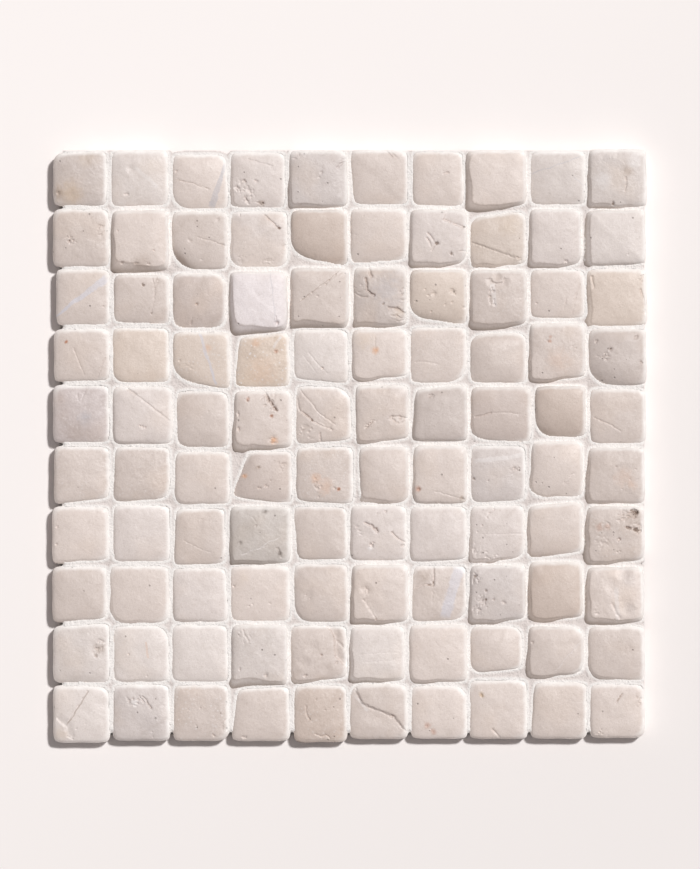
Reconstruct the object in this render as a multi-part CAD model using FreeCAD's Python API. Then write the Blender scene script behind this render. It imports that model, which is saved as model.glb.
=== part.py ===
"""A sheet of tumbled stone mosaic, ten stones by ten, grouted and backed with a glass-yarn mesh.

The sheet lies flat. Its frame has +Z up and its origin on the underside of the mesh, in the middle
of the sheet. Row 1 is the row furthest along +Y, and column 1 is the column furthest along -X.
Every length is in millimetres.
"""

import FreeCAD, Part
import math
import os
import random

# The grid that the stones are laid on
ROWS = 10
COLUMNS = 10
PITCH = 30.0  # from the middle of one stone to the middle of the next
JOINT = 1.6  # the common width of the grout between two stones
LEAST_JOINT = 0.8  # two stones that would leave less are both trimmed

# A common stone
STONE_HEIGHT = 9.5  # from the back to the rim of the face
BACK_CHAMFER = 0.6  # tumbling takes this much off the edge of the back
EDGE_DROP = 1.8  # how far the tumbled edge of the face falls, to the top of the wall
EDGE_ROLL = 1.8  # how far in from the wall that edge starts to fall
FLARE = 0.8  # share by which a side that lies further out starts to fall further in
FALL_ROLL = 9.0  # the same on a side that is worn down to a slope
CROWN_RISE = 0.35  # the middle of the face stands this much above its rim
CORNER = 2.4  # radius of a common corner, seen from above
SIDE_BOW = 0.3  # the ends of a side lie this much inside its middle

# What tumbling and hand laying add to every stone, drawn from a seeded generator
SEED = 27
SIDE_SCATTER = 0.15
CORNER_SCATTER = 0.5
HEIGHT_SCATTER = 0.25
TILT_SCATTER = 0.02  # rise over run of a face's slope

# The grout and the mesh
GROUT_BELOW_WALL = 0.1  # the grout ends this far below the top of a common stone's wall
GROUT_SETBACK = 4.0  # from the outer wall of a border stone to the edge of the grout
YARN_SPACING = 5.0  # nearly: the yarns are spread evenly from edge to edge
YARN_WIDTH = 0.8
YARN_THICKNESS = 0.25
MESH_SETBACK = 3.0  # from the outer wall of a border stone to the ends of the yarns

STONE_SIDE = PITCH - JOINT
MESH_THICKNESS = 2 * YARN_THICKNESS
WALL_TOP = MESH_THICKNESS + STONE_HEIGHT - EDGE_DROP
GROUT_TOP = WALL_TOP - GROUT_BELOW_WALL

# The stones as they are laid, by row and then by column. n, e, s and w say how far the middle of a
# side lies outside a common stone's side. A pair turns the side: it gives the west and the east end
# of n or s, and the north and the south end of e or w. nw, ne, se and sw are the radii of worn
# corners, up is how far a stone stands proud, and falls names a side that is worn to a slope. dome
# is how much more than a common stone's crown its own rises, and lean its rise to the east and north.
LAID = {
    1: [
        dict(n=(-2, -0.5), e=-1, s=0.5, nw=4.5),
        dict(w=1, n=-0.5, s=(1, 0), dome=0.3),
        dict(w=(0, 0.5), n=-2.5, e=(-0.5, 0.5), s=2, sw=8, ne=4.5, dome=0.4),
        dict(w=1, n=-1.5, e=-1, s=1.5),
        dict(w=1.5, n=-0.5, e=0.5, s=1.5, up=1.5),
        dict(w=(1, -1), n=-0.5),
        dict(w=-0.5, n=-1, e=-0.5, s=0.5),
        dict(w=1.5, n=-0.5, s=(1.5, 0), up=2),
        dict(n=-1),
        dict(w=1, e=0.5, s=1, up=1.5),
    ],
    2: [
        dict(e=0.5, s=1.5),
        dict(w=1, n=-0.5, e=0.5, s=1.5, up=2.5),
        dict(w=0.5, n=-1, s=2.5, sw=11, dome=0.4),
        dict(w=1, n=-1, e=0.5, s=1.5, se=5, sw=5),
        dict(w=1, e=0.5, s=(-4.5, 1.5), sw=9, falls="s", dome=0.8, lean=(0, 0.05), up=0.8),
        dict(w=1, e=0.5, s=(0, -2.5), falls="s", dome=0.5, lean=(0, 0.04)),
        dict(w=1, e=0.5, s=(0.5, -0.5), se=6, up=2),
        dict(w=0.5, n=(-4.5, -0.5), e=0.5, s=(1.5, 0), nw=5, ne=5, up=0.5),
        dict(w=1, e=-0.5, s=0.5, se=5, up=1.5),
        dict(w=1, n=-0.5, s=(1, -0.5), up=2),
    ],
    3: [
        dict(w=-1.5, s=0.5),
        dict(w=(0, -0.5), n=-3, e=0.5, s=(-1, 0), falls="s", dome=0.3, lean=(0, 0.04)),
        dict(n=-2.5, e=-1, s=2, ne=6, se=6, sw=5, dome=0.9, lean=(0.02, 0.03)),
        dict(w=(1.5, -1), n=-1.5, e=0.5, s=(3.5, 2), up=3),
        dict(w=1, e=0.5, s=1, up=2.5),
        dict(w=-1, n=-0.5, e=0.5, s=1, up=1),
        dict(w=1, n=-0.5, e=0.5, s=(-3.5, 0.5), sw=7, falls="s", dome=0.8, lean=(0, 0.06), up=0.8),
        dict(w=0.5, n=-0.5, e=0.5, s=(1, 0), up=2),
        dict(n=-0.5, e=-0.5, s=-3),
        dict(w=1.5, e=0.5, s=1),
    ],
    4: [
        dict(w=-0.5, n=-0.5, e=0.5, s=(-1, -1.5)),
        dict(w=0.5, e=0.5, s=-0.5, sw=5),
        dict(n=-2, e=0.5, s=(-2, 3), sw=9, dome=0.4, lean=(0.03, 0.02)),
        dict(w=(-3.5, -1), n=(-4.5, -2), e=1, s=1.5),
        dict(w=-1, n=-0.5, e=0.5, s=(-2.5, 0)),
        dict(n=-0.5, e=0.5, s=(-0.5, -2), up=1),
        dict(w=0.5, e=0.5, s=-0.5, se=10),
        dict(w=0.5, n=(-3.5, -2), e=0.5, s=-0.5, nw=6, ne=5, dome=1, lean=(0, 0.03), up=0.5),
        dict(w=1, n=0.5, s=(0, -2), up=1.5),
        dict(w=1, e=0.5, s=1, sw=11, up=1, dome=0.8, lean=(0.02, 0)),
    ],
    5: [
        dict(e=0.5, s=-0.5),
        dict(w=0.5, n=-0.5, e=0.5, s=0.5, up=1),
        dict(w=-2, n=-3.5, e=0.5, s=2, ne=5, sw=5, dome=0.6),
        dict(w=-1, n=-1.5, e=1, s=(3, 2), up=1.5),
        dict(w=-2, e=0.5, s=(1, -1.5), ne=10),
        dict(w=-2, e=0.5, s=(0, -2.5), up=1),
        dict(w=(-3, -1), n=(-2.5, 0), e=0.5, s=-1, up=2),
        dict(e=0.5, s=(-2, -0.5), sw=6, falls="s", dome=0.5, lean=(0, 0.05), up=0.5),
        dict(w=-2.5, n=1, s=-3, sw=9, falls="s", dome=1.2, lean=(0.04, 0.06), up=1),
        dict(n=-0.5),
    ],
    6: [
        dict(w=-0.5, n=0.5, e=0.5, s=(0.5, -2.5)),
        dict(w=(-1, 0), n=0.5, e=1, s=(-0.5, -2), se=6),
        dict(w=(-1.5, -0.5), n=-3, s=0.5, sw=5),
        dict(w=(-8, 0.5), n=-2, e=0.5, s=(-3, 1), dome=0.5),
        dict(w=-2, n=0.5, e=0.5, s=(-1, 1)),
        dict(w=(-3.5, -4.5), n=0.5, e=0.5, sw=5, se=5, up=1, dome=0.6, lean=(0.03, 0.02)),
        dict(w=-1, e=0.5, s=0.5, up=1.5),
        dict(n=1, e=0.5, s=(0, -1.5)),
        dict(w=(-0.5, 0.5), n=1, e=-0.5, s=-3, sw=6, falls="s", dome=1, lean=(0.02, 0.04), up=0.8),
        dict(w=1, e=-0.5, s=0.5, up=1.5),
    ],
    7: [
        dict(w=0.5, e=-0.5, s=(0, -1.5)),
        dict(e=-1, s=-0.5),
        dict(w=(-1.5, -0.5), n=-2.5, e=-1.5, s=(1.5, 0.5)),
        dict(w=1.5, n=0.5, e=0.5, s=0.5, up=1.5),
        dict(w=(-0.5, -3), n=0.5, e=0.5, s=-1.5),
        dict(w=1, n=1, e=0.5, s=-1, up=0.5),
        dict(w=1, n=0.5, e=0.5, s=(0, -1.5), up=0.5),
        dict(w=1, n=1, e=0.5, s=(-0.5, -2), se=6, up=0.5),
        dict(w=1, n=(-2, 0.5), e=-0.5, s=(-2, -5.5), falls="s", dome=0.5, lean=(0, 0.04), up=0.5),
        dict(w=2, n=1, e=-0.5, s=(0.5, -1), up=1.5),
    ],
    8: [
        dict(w=0.5, e=-1, s=(0, -1.5)),
        dict(w=1.5, n=-0.5, e=0.5, s=0.5, sw=7, se=5),
        dict(n=-0.5, e=(-1, 0.5)),
        dict(w=1, n=0.5, e=0.5, s=-0.5),
        dict(w=-1, n=1, e=0.5, sw=8, dome=0.5),
        dict(n=0.5, e=1, up=2),
        dict(w=(-1, 0), e=0.5, s=(0, -1), se=7),
        dict(w=1, n=1, s=(0, -1.5), up=1.5),
        dict(w=1, e=-0.5, s=(-1, -2.5), sw=5, up=1.5, dome=0.4),
        dict(w=1.5, e=-1, s=-0.5, up=2),
    ],
    9: [
        dict(n=(-1, 1), e=0.5, s=0.5),
        dict(n=0.5, e=0.5, s=(0.5, 0), ne=7),
        dict(w=0.5, n=1, e=0.5),
        dict(w=1, n=1, e=0.5, s=(2, 0.5), up=1.5),
        dict(w=1, n=0.5, s=(1, -2), dome=0.5),
        dict(w=0.5, e=-1.5, s=-0.5, up=1),
        dict(w=1, n=1, e=0.5, up=1),
        dict(w=0.5, e=-2, s=(-2.5, -5.5), ne=6, sw=6, dome=0.8, lean=(0.01, 0.02)),
        dict(w=1, e=-2, s=(-2.5, -4), ne=7, se=6, up=1.5, dome=0.4),
        dict(w=1, e=-0.5, s=(-2, -0.5), sw=6),
    ],
    10: [
        dict(e=0.5, s=0.5, ne=5),
        dict(s=-0.5, n=1, e=0.5),
        dict(s=-0.5, w=-0.5, n=0.5, se=5),
        dict(s=-0.5, w=(-2.5, 0.5), n=(-1.5, 0), e=0.5),
        dict(w=-1, n=0.5, s=0),
        dict(w=1, n=1, e=0.5, s=-1.5, nw=6),
        dict(e=0.5, s=-1.5, ne=6),
        dict(w=1, n=0.5, e=0.5, s=-1.5),
        dict(w=(-2, 0), n=1, e=0.5, s=-1.5),
        dict(n=1, e=-0.5, s=-2, se=4),
    ],
}

SIDES = ("n", "e", "s", "w")
QUARTERS = (("ne", 1, 1), ("nw", -1, 1), ("sw", -1, -1), ("se", 1, -1))
CORNER_STEPS = 3  # spans of the outline's curve in each corner
CORNER_SHARE = 0.85  # the most of a half side that a worn corner may take
ROLL_ANGLES = (0, 30, 60, 90)  # the sections of the tumbled edge, in degrees round its curve
CROWN_FLAT = 5.0  # half the width of the flat on top of the crown
CROWN_RUN = 4.0  # the crown rises over at least this, from the rim to the flat
CROWN_STEPS = ((0.5, 0.75), (1, 1))  # shares of the way in from the rim, and of the crown's rise


def ends(value):
    """The two ends of a side's departure, which is one number where the side isn't turned."""
    return value if isinstance(value, tuple) else (value, value)


class Stone:
    """One stone: its four sides, corners, height and slope, about its own middle."""

    def __init__(self, row, column, laid, chance):
        self.middle = (
            (column - (COLUMNS + 1) / 2) * PITCH,
            ((ROWS + 1) / 2 - row) * PITCH,
        )
        self.reach = {
            side: [
                STONE_SIDE / 2 + end + chance.uniform(-SIDE_SCATTER, SIDE_SCATTER)
                for end in ends(laid.get(side, 0))
            ]
            for side in SIDES
        }
        self.radius = {
            corner: laid.get(
                corner, CORNER + chance.uniform(-CORNER_SCATTER, CORNER_SCATTER)
            )
            for corner, _, _ in QUARTERS
        }
        self.falls = laid.get("falls", "")
        self.up = laid.get("up", 0) + chance.uniform(0, HEIGHT_SCATTER)
        self.slope = [
            rise + chance.uniform(-TILT_SCATTER, TILT_SCATTER)
            for rise in laid.get("lean", (0, 0))
        ]
        self.dome = laid.get("dome", 0)

    def roll(self, side):
        """How far in from the wall the tumbled edge of a side starts to fall."""
        if side in self.falls:
            return FALL_ROLL
        further_out = sum(self.reach[side]) / 2 - STONE_SIDE / 2
        return EDGE_ROLL + FLARE * max(0, further_out)

    def place(self, u, v):
        """The point at u, v of the stone's own square, which runs from -1 to 1 both ways."""

        def side(name, across):
            first, last = self.reach[name]
            middle = (first + last) / 2 + across * (last - first) / 2
            return middle - SIDE_BOW * across**2

        west, east = side("w", -v), side("e", -v)
        south, north = side("s", u), side("n", u)
        return (
            self.middle[0] + (east * (1 + u) - west * (1 - u)) / 2,
            self.middle[1] + (north * (1 + v) - south * (1 - v)) / 2,
        )

    def ring(self, inset, height, sloped=0.0):
        """The closed curve round the stone, taken in by inset[side] and by the slope's share."""
        half = STONE_SIDE / 2
        points = []
        for corner, east, north in QUARTERS:
            edge_u = 1 - inset["e" if east > 0 else "w"] / half
            edge_v = 1 - inset["n" if north > 0 else "s"] / half
            radius = min(self.radius[corner] / half, CORNER_SHARE * min(edge_u, edge_v))
            turned = east * north < 0
            for step in range(CORNER_STEPS + 1):
                angle = math.pi / 2 * step / CORNER_STEPS
                if turned:
                    angle = math.pi / 2 - angle
                u = east * (edge_u - radius * (1 - math.cos(angle)))
                v = north * (edge_v - radius * (1 - math.sin(angle)))
                points.append((u, v))
            # the middle of the side that follows this corner
            if corner == "ne":
                points.append((0, edge_v))
            elif corner == "nw":
                points.append((-edge_u, 0))
            elif corner == "sw":
                points.append((0, -edge_v))
            else:
                points.append((edge_u, 0))
        placed = [self.place(u, v) for u, v in points]
        curve = Part.BSplineCurve()
        curve.interpolate(
            Points=[
                FreeCAD.Vector(
                    x,
                    y,
                    height
                    + sloped
                    * (
                        self.slope[0] * (x - self.middle[0])
                        + self.slope[1] * (y - self.middle[1])
                    ),
                )
                for x, y in placed
            ],
            PeriodicFlag=True,
        )
        return Part.Wire(curve.toShape())

    def edge(self, wall_top):
        """The sections of the tumbled edge, from the top of the wall to the rim of the face."""
        sections = []
        for degrees in ROLL_ANGLES:
            angle = math.radians(degrees)
            inset = {side: self.roll(side) * (1 - math.cos(angle)) for side in SIDES}
            rise = math.sin(angle)
            sections.append(self.ring(inset, wall_top + EDGE_DROP * rise, rise))
        return sections

    def crown(self, rim_height):
        """The curves of the crowned face, from just inside its rim to the small flat on top."""
        curves = []
        for inward, risen in CROWN_STEPS:
            inset = {}
            for side in SIDES:
                rim = self.roll(side)
                flat = max(rim + CROWN_RUN, STONE_SIDE / 2 - CROWN_FLAT)
                inset[side] = rim + inward * (flat - rim)
            height = rim_height + risen * (CROWN_RISE + self.dome)
            curves.append(self.ring(inset, height, 1.0))
        return curves

    def body(self):
        """The stone's solid: a chamfered back, an upright wall, a rounded edge and a crowned face."""
        back = self.ring(dict.fromkeys(SIDES, BACK_CHAMFER), MESH_THICKNESS)
        foot = self.ring(dict.fromkeys(SIDES, 0.0), MESH_THICKNESS + BACK_CHAMFER)
        wall_top = WALL_TOP + self.up
        wall_height = wall_top - MESH_THICKNESS - BACK_CHAMFER
        edge = self.edge(wall_top)
        crown = self.crown(wall_top + EDGE_DROP)
        skin = Part.Shell(
            [
                Part.Face(back),
                *Part.makeLoft([back, foot], False, True).Faces,
                *foot.extrude(FreeCAD.Vector(0, 0, wall_height)).Faces,
                *Part.makeLoft(edge, False, False).Faces,
                *Part.makeLoft([edge[-1], *crown], False, True).Faces,
                Part.Face(crown[-1]),
            ]
        )
        skin.sewShape()
        stone = Part.Solid(skin)
        if stone.Volume < 0:
            stone.reverse()
        return stone

    def seat(self):
        """The stone's outline on the back of the grout, as a flat face."""
        return Part.Face(self.ring(dict.fromkeys(SIDES, 0.0), MESH_THICKNESS))


def part_neighbours(stone, side, neighbour, facing):
    """Trims two facing sides by the same amount where they would leave too thin a joint."""
    for end in range(2):
        out = stone.reach[side][end] + neighbour.reach[facing][end]
        excess = max(0, out + LEAST_JOINT - PITCH)
        stone.reach[side][end] -= excess / 2
        neighbour.reach[facing][end] -= excess / 2


def stones():
    """Every stone, by row, with room for the grout between neighbours."""
    chance = random.Random(SEED)
    rows = {
        row: [
            Stone(row, column, LAID[row][column - 1], chance)
            for column in range(1, COLUMNS + 1)
        ]
        for row in range(1, ROWS + 1)
    }
    for row, laid in rows.items():
        for stone, neighbour in zip(laid, laid[1:]):
            part_neighbours(stone, "e", neighbour, "w")
        for stone, neighbour in zip(laid, rows.get(row + 1, [])):
            part_neighbours(stone, "s", neighbour, "n")
    return rows


def grout(laid):
    """The grout between the stones, with each stone's seat in it."""
    wide = COLUMNS * PITCH - JOINT - 2 * GROUT_SETBACK
    deep = ROWS * PITCH - JOINT - 2 * GROUT_SETBACK
    back = Part.makePlane(
        wide, deep, FreeCAD.Vector(-wide / 2, -deep / 2, MESH_THICKNESS)
    )
    web = back.cut([stone.seat() for stone in laid])
    return web.extrude(FreeCAD.Vector(0, 0, GROUT_TOP - MESH_THICKNESS))


def yarns(along_x):
    """One set of the mesh's yarns. Those along X lie at the bottom, and the others cross on top."""
    wide = COLUMNS * PITCH - JOINT - 2 * MESH_SETBACK
    deep = ROWS * PITCH - JOINT - 2 * MESH_SETBACK
    length, span = (wide, deep) if along_x else (deep, wide)
    gaps = round((span - YARN_WIDTH) / YARN_SPACING)
    spacing = (span - YARN_WIDTH) / gaps
    made = []
    for number in range(gaps + 1):
        across = number * spacing - span / 2
        if along_x:
            yarn = Part.makeBox(
                length,
                YARN_WIDTH,
                YARN_THICKNESS,
                FreeCAD.Vector(-length / 2, across, 0),
            )
        else:
            yarn = Part.makeBox(
                YARN_WIDTH,
                length,
                YARN_THICKNESS,
                FreeCAD.Vector(across, -length / 2, YARN_THICKNESS),
            )
        made.append(yarn)
    return made


def write(name, shape):
    shape.exportStep(os.path.join("parts", name + ".step"))


def main():
    os.makedirs("parts", exist_ok=True)
    rows = stones()
    for row, laid in rows.items():
        write(
            f"stones_row_{row:02d}", Part.makeCompound([stone.body() for stone in laid])
        )
    write("grout", grout([stone for laid in rows.values() for stone in laid]))
    write("mesh_weft_yarns", Part.makeCompound(yarns(along_x=True)))
    write("mesh_warp_yarns", Part.makeCompound(yarns(along_x=False)))


main()
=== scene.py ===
import math

import bpy
import numpy as np
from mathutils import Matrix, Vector, bvhtree


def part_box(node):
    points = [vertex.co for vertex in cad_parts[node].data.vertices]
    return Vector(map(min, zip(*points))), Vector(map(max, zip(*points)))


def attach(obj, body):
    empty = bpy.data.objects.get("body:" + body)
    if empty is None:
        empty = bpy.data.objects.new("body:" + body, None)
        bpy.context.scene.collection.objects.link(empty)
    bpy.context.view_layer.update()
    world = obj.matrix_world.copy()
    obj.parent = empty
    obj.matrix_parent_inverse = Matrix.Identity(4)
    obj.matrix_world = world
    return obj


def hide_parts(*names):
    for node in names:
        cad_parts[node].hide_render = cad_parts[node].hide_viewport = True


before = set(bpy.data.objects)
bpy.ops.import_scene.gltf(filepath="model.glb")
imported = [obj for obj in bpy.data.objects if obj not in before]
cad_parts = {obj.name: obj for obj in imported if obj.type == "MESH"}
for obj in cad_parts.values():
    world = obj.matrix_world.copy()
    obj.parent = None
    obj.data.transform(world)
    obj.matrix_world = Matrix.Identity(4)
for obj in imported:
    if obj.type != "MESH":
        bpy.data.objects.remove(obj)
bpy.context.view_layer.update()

# The looks of a sheet of tumbled stone mosaic, worked in millimetres and written out in metres.
# A stone is named by its row and column. Row 1 is furthest along +Y, column 1 furthest along -X.
# A mark on a stone is placed in millimetres east and north of the middle of its cell.

bl_info = {
    "name": "Tumbled stone mosaic",
    "version": (1, 0, 0),
    "blender": (4, 5, 0),
    "location": "3D View > Sidebar > Mosaic",
    "description": "Lays worn stones, spreads grout and weaves the backing mesh of a mosaic sheet",
    "category": "Object",
}

MM = 0.001
ROWS = 10
COLUMNS = 10
PITCH = 30.0
SEED = 7
STONE_NODES = [f"stones_row_{row:02d}" for row in range(1, ROWS + 1)]


def cell(row, column):
    """The middle of a stone's cell, in millimetres."""
    return (column - (COLUMNS + 1) / 2) * PITCH, ((ROWS + 1) / 2 - row) * PITCH


def colour(red, green, blue):
    """A colour written as it shows on a screen, from 0 to 255, in the renderer's linear scale."""

    def linear(value):
        share = value / 255
        return share / 12.92 if share <= 0.04045 else ((share + 0.055) / 1.055) ** 2.4

    return linear(red), linear(green), linear(blue), 1.0


# The kinds of stone, palest first
MARBLE = colour(235, 225, 224)
SNOW = colour(227, 216, 210)
IVORY = colour(226, 212, 204)
PEARL = colour(223, 211, 205)
YELLOW_CREAM = colour(222, 206, 194)
CREAM = colour(221, 207, 199)
HONEY = colour(221, 203, 188)
GREY_PEARL = colour(219, 208, 202)
BEIGE = colour(217, 203, 195)
KHAKI = colour(216, 201, 190)
GREY_BEIGE = colour(213, 202, 197)
PINK_BEIGE = colour(213, 199, 191)
TAN = colour(210, 193, 182)
DUSK = colour(209, 194, 186)
GREY = colour(207, 194, 187)
LILAC_GREY = colour(205, 192, 188)
GREEN_GREY = colour(203, 193, 186)

KINDS = {
    1: [GREY, SNOW, IVORY, PEARL, GREY_BEIGE, BEIGE, CREAM, IVORY, GREY_PEARL, GREY_PEARL],
    2: [PINK_BEIGE, IVORY, PINK_BEIGE, PEARL, TAN, CREAM, PEARL, KHAKI, PEARL, SNOW],
    3: [BEIGE, BEIGE, DUSK, MARBLE, BEIGE, GREY, YELLOW_CREAM, PINK_BEIGE, CREAM, YELLOW_CREAM],
    4: [BEIGE, YELLOW_CREAM, YELLOW_CREAM, HONEY, SNOW, IVORY, CREAM, BEIGE, BEIGE, GREY],
    5: [LILAC_GREY, PEARL, PINK_BEIGE, CREAM, BEIGE, BEIGE, GREY, DUSK, TAN, PINK_BEIGE],
    6: [BEIGE, PINK_BEIGE, CREAM, DUSK, PINK_BEIGE, CREAM, CREAM, GREY_BEIGE, IVORY, PINK_BEIGE],
    7: [IVORY, PEARL, PINK_BEIGE, GREEN_GREY, PINK_BEIGE, PEARL, PEARL, PEARL, CREAM, PINK_BEIGE],
    8: [PINK_BEIGE, CREAM, PEARL, IVORY, PINK_BEIGE, CREAM, BEIGE, GREY_BEIGE, TAN, IVORY],
    9: [GREY_PEARL, SNOW, SNOW, GREY_PEARL, BEIGE, SNOW, IVORY, CREAM, BEIGE, PINK_BEIGE],
    10: [SNOW, GREY_BEIGE, PINK_BEIGE, BEIGE, TAN, PINK_BEIGE, IVORY, CREAM, BEIGE, CREAM],
}

# Tints of the marks
BLUE_WHITE = colour(212, 207, 212)
BLUE_GREY = colour(190, 186, 190)
MILK = colour(232, 225, 222)
RUST = colour(178, 112, 74)
ORANGE = colour(224, 176, 142)
OCHRE = colour(202, 178, 152)
SMUDGE = colour(172, 162, 159)
BROWN = colour(152, 128, 108)
DARK = colour(126, 114, 106)
# Dirt in the marks, and painted shade that darkens deep pits and cracks and the worn-down slopes
DIRT_AND_SHADE = colour(126, 104, 90)
# Painted highlight: the pale glow on the lit north and east edges of the stones, and on the grout beside
# them
PAINTED_HIGHLIGHT = colour(255, 251, 247)
# Painted shade on the falling edges of the shaded south and west sides
BAND_SHADE = colour(150, 131, 118)


def whole_noise(x, y, seed):
    """A repeatable random number from 0 to 1 at each whole point."""
    mixed = (x * 374761393 + y * 668265263 + seed * 974634777) & 0x7FFFFFFF
    mixed = ((mixed ^ (mixed >> 13)) * 1274126177) & 0x7FFFFFFF
    return ((mixed ^ (mixed >> 16)) & 0xFFFF) / 0xFFFF


def ripple(x, y, seed, octaves=1):
    """Smooth noise from -1 to 1, a wave or so to each unit."""
    total = np.zeros_like(x, dtype=float)
    strength = 1.0
    for octave in range(octaves):
        near_x = np.floor(x).astype(np.int64)
        near_y = np.floor(y).astype(np.int64)
        along_x = x - near_x
        along_y = y - near_y
        along_x = along_x * along_x * (3 - 2 * along_x)
        along_y = along_y * along_y * (3 - 2 * along_y)
        low = whole_noise(near_x, near_y, seed + octave)
        low += along_x * (whole_noise(near_x + 1, near_y, seed + octave) - low)
        high = whole_noise(near_x, near_y + 1, seed + octave)
        high += along_x * (whole_noise(near_x + 1, near_y + 1, seed + octave) - high)
        total += strength * (2 * (low + along_y * (high - low)) - 1)
        strength *= 0.5
        x = x * 2.03 + 17.1
        y = y * 2.03 + 5.3
    return total / (2 - 0.5 ** (octaves - 1))


def waves(x, y, fineness, seed, octaves=2):
    """Smooth noise from -1 to 1, with about so many waves to the millimetre."""
    return ripple(x * fineness, y * fineness, seed, octaves)


def waves_round(bearing, fineness, seed, octaves=2):
    """Smooth noise from -1 to 1 round a stone, the finer the more waves."""
    return waves(np.cos(bearing), np.sin(bearing), fineness, seed, octaves)


def smooth(value, low, high):
    """0 below low, 1 above high, and a smooth rise between."""
    share = np.clip((value - low) / (high - low), 0, 1)
    return share * share * (3 - 2 * share)


def from_path(x, y, points):
    """Distance from a path, how far along it, and which side of it: positive on the right."""
    best = np.full_like(x, 1e9)
    along = np.zeros_like(x)
    side = np.zeros_like(x)
    walked = 0.0
    for (x1, y1), (x2, y2) in zip(points, points[1:]):
        run_x, run_y = x2 - x1, y2 - y1
        length = math.hypot(run_x, run_y)
        share = ((x - x1) * run_x + (y - y1) * run_y) / length**2
        held = np.clip(share, 0, 1)
        away = np.hypot(x - x1 - held * run_x, y - y1 - held * run_y)
        right = ((x - x1) * run_y - (y - y1) * run_x) / length
        nearer = away < best
        best = np.where(nearer, away, best)
        along = np.where(nearer, walked + held * length, along)
        side = np.where(nearer, np.where(right >= 0, away, -away), side)
        walked += length
    return best, along / walked, side


MARK_DEPTH = 1.4  # deepens every pit and crack


class Pit:
    """A small hole with a ragged rim."""

    dirt_and_shade = 0.25

    def __init__(self, x, y, size=0.7, depth=0.8, long=1.0, turn=0.0):
        self.x, self.y, self.size, self.depth, self.long = x, y, size, depth, long
        self.turn = math.radians(turn)

    def turned(self, x, y):
        """Where points lie along and across the mark, from its middle."""
        east, north = x - self.x, y - self.y
        along = east * math.cos(self.turn) + north * math.sin(self.turn)
        return along, north * math.cos(self.turn) - east * math.sin(self.turn)

    def carve(self, x, y):
        along, across = self.turned(x, y)
        away = np.hypot(along / self.long, across) / self.size
        ragged = 0.5 * ripple(x * 2.2 + self.x, y * 2.2 + self.y, SEED, 3)
        return MARK_DEPTH * self.depth * (1 - smooth(away + ragged, 0.25, 1.05))


class DarkPit(Pit):
    """A pit painted darker inside: dirt, and painted shade in its hollow."""

    dirt_and_shade = 1.0


class Chips(Pit):
    """A cluster of small ragged chips, drawn out along its turn."""

    dirt_and_shade = 0.35

    def carve(self, x, y):
        along, across = self.turned(x, y)
        inside = 1 - smooth(np.hypot(along / self.long, across) / self.size, 0.4, 1.0)
        chipped = smooth(ripple(along * 0.7 + self.x, across * 1.2 + self.y, SEED + 9, 2), 0.05, 0.5)
        return self.depth * inside * chipped


class Hollow(Pit):
    """A wide smooth dip."""

    dirt_and_shade = 0.0

    def carve(self, x, y):
        away = np.hypot(x - self.x, y - self.y) / self.size
        return self.depth * np.clip(1 - away**2, 0, 1) ** 2


class Crack:
    """A narrow ragged groove along a path. It fades towards its end, or where fade is negative, swells."""

    dirt_and_shade = 0.35

    def __init__(self, *points, width=0.4, depth=0.35, fade=0.3):
        self.points, self.width, self.depth, self.fade = points, width, depth, fade

    def carve(self, x, y):
        away, along, _ = from_path(x, y, self.points)
        ragged = 0.3 * waves(x, y, 1.9, SEED + 1)
        uneven = 1 + 0.4 * waves(x, y, 0.7, SEED + 2)
        inside = 1 - smooth(away / self.width + ragged, 0.1, 1.0)
        return MARK_DEPTH * self.depth * uneven * (1 - self.fade * along) * inside


class Ledge:
    """A step down on the right of a path, which runs out to nothing over its reach."""

    dirt_and_shade = 0.1

    def __init__(self, *points, drop=0.7, reach=9.0, edge=0.5):
        self.points, self.drop, self.reach, self.edge = points, drop, reach, edge

    def carve(self, x, y):
        _, along, side = from_path(x, y, self.points)
        ends = smooth(along, 0, 0.08) * (1 - smooth(along, 0.92, 1))
        return self.drop * ends * smooth(side, 0, self.edge) * (1 - smooth(side, self.edge, self.reach))


class Slope:
    """A side worn down in a curve: towards is an angle from east, counted anticlockwise."""

    # Painted shade: the slope is darkened the further it falls
    dirt_and_shade = 0.3

    def __init__(self, towards, start, fall, reach=9.0):
        self.towards, self.start, self.fall, self.reach = math.radians(towards), start, fall, reach

    def carve(self, x, y):
        out = x * math.cos(self.towards) + y * math.sin(self.towards)
        return self.fall * np.clip((out - self.start) / self.reach, 0, 1.5) ** 1.8


class Rough:
    """A patch of broken, uneven surface."""

    dirt_and_shade = 0.2

    def __init__(self, x, y, size=4.0, depth=0.5):
        self.x, self.y, self.size, self.depth = x, y, size, depth

    def carve(self, x, y):
        inside = 1 - smooth(np.hypot(x - self.x, y - self.y) / self.size, 0.4, 1)
        broken = 0.5 + 0.5 * waves(x, y, 0.8, SEED, 3)
        ridged = (1 - np.abs(waves(x, y, 0.9, SEED + 3))) ** 3
        return self.depth * inside * (0.7 * broken + 0.5 * ridged)


def pits(*places, size=0.6, depth=0.6):
    """Like pits at several places."""
    return [Pit(x, y, size, depth) for x, y in places]


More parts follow.
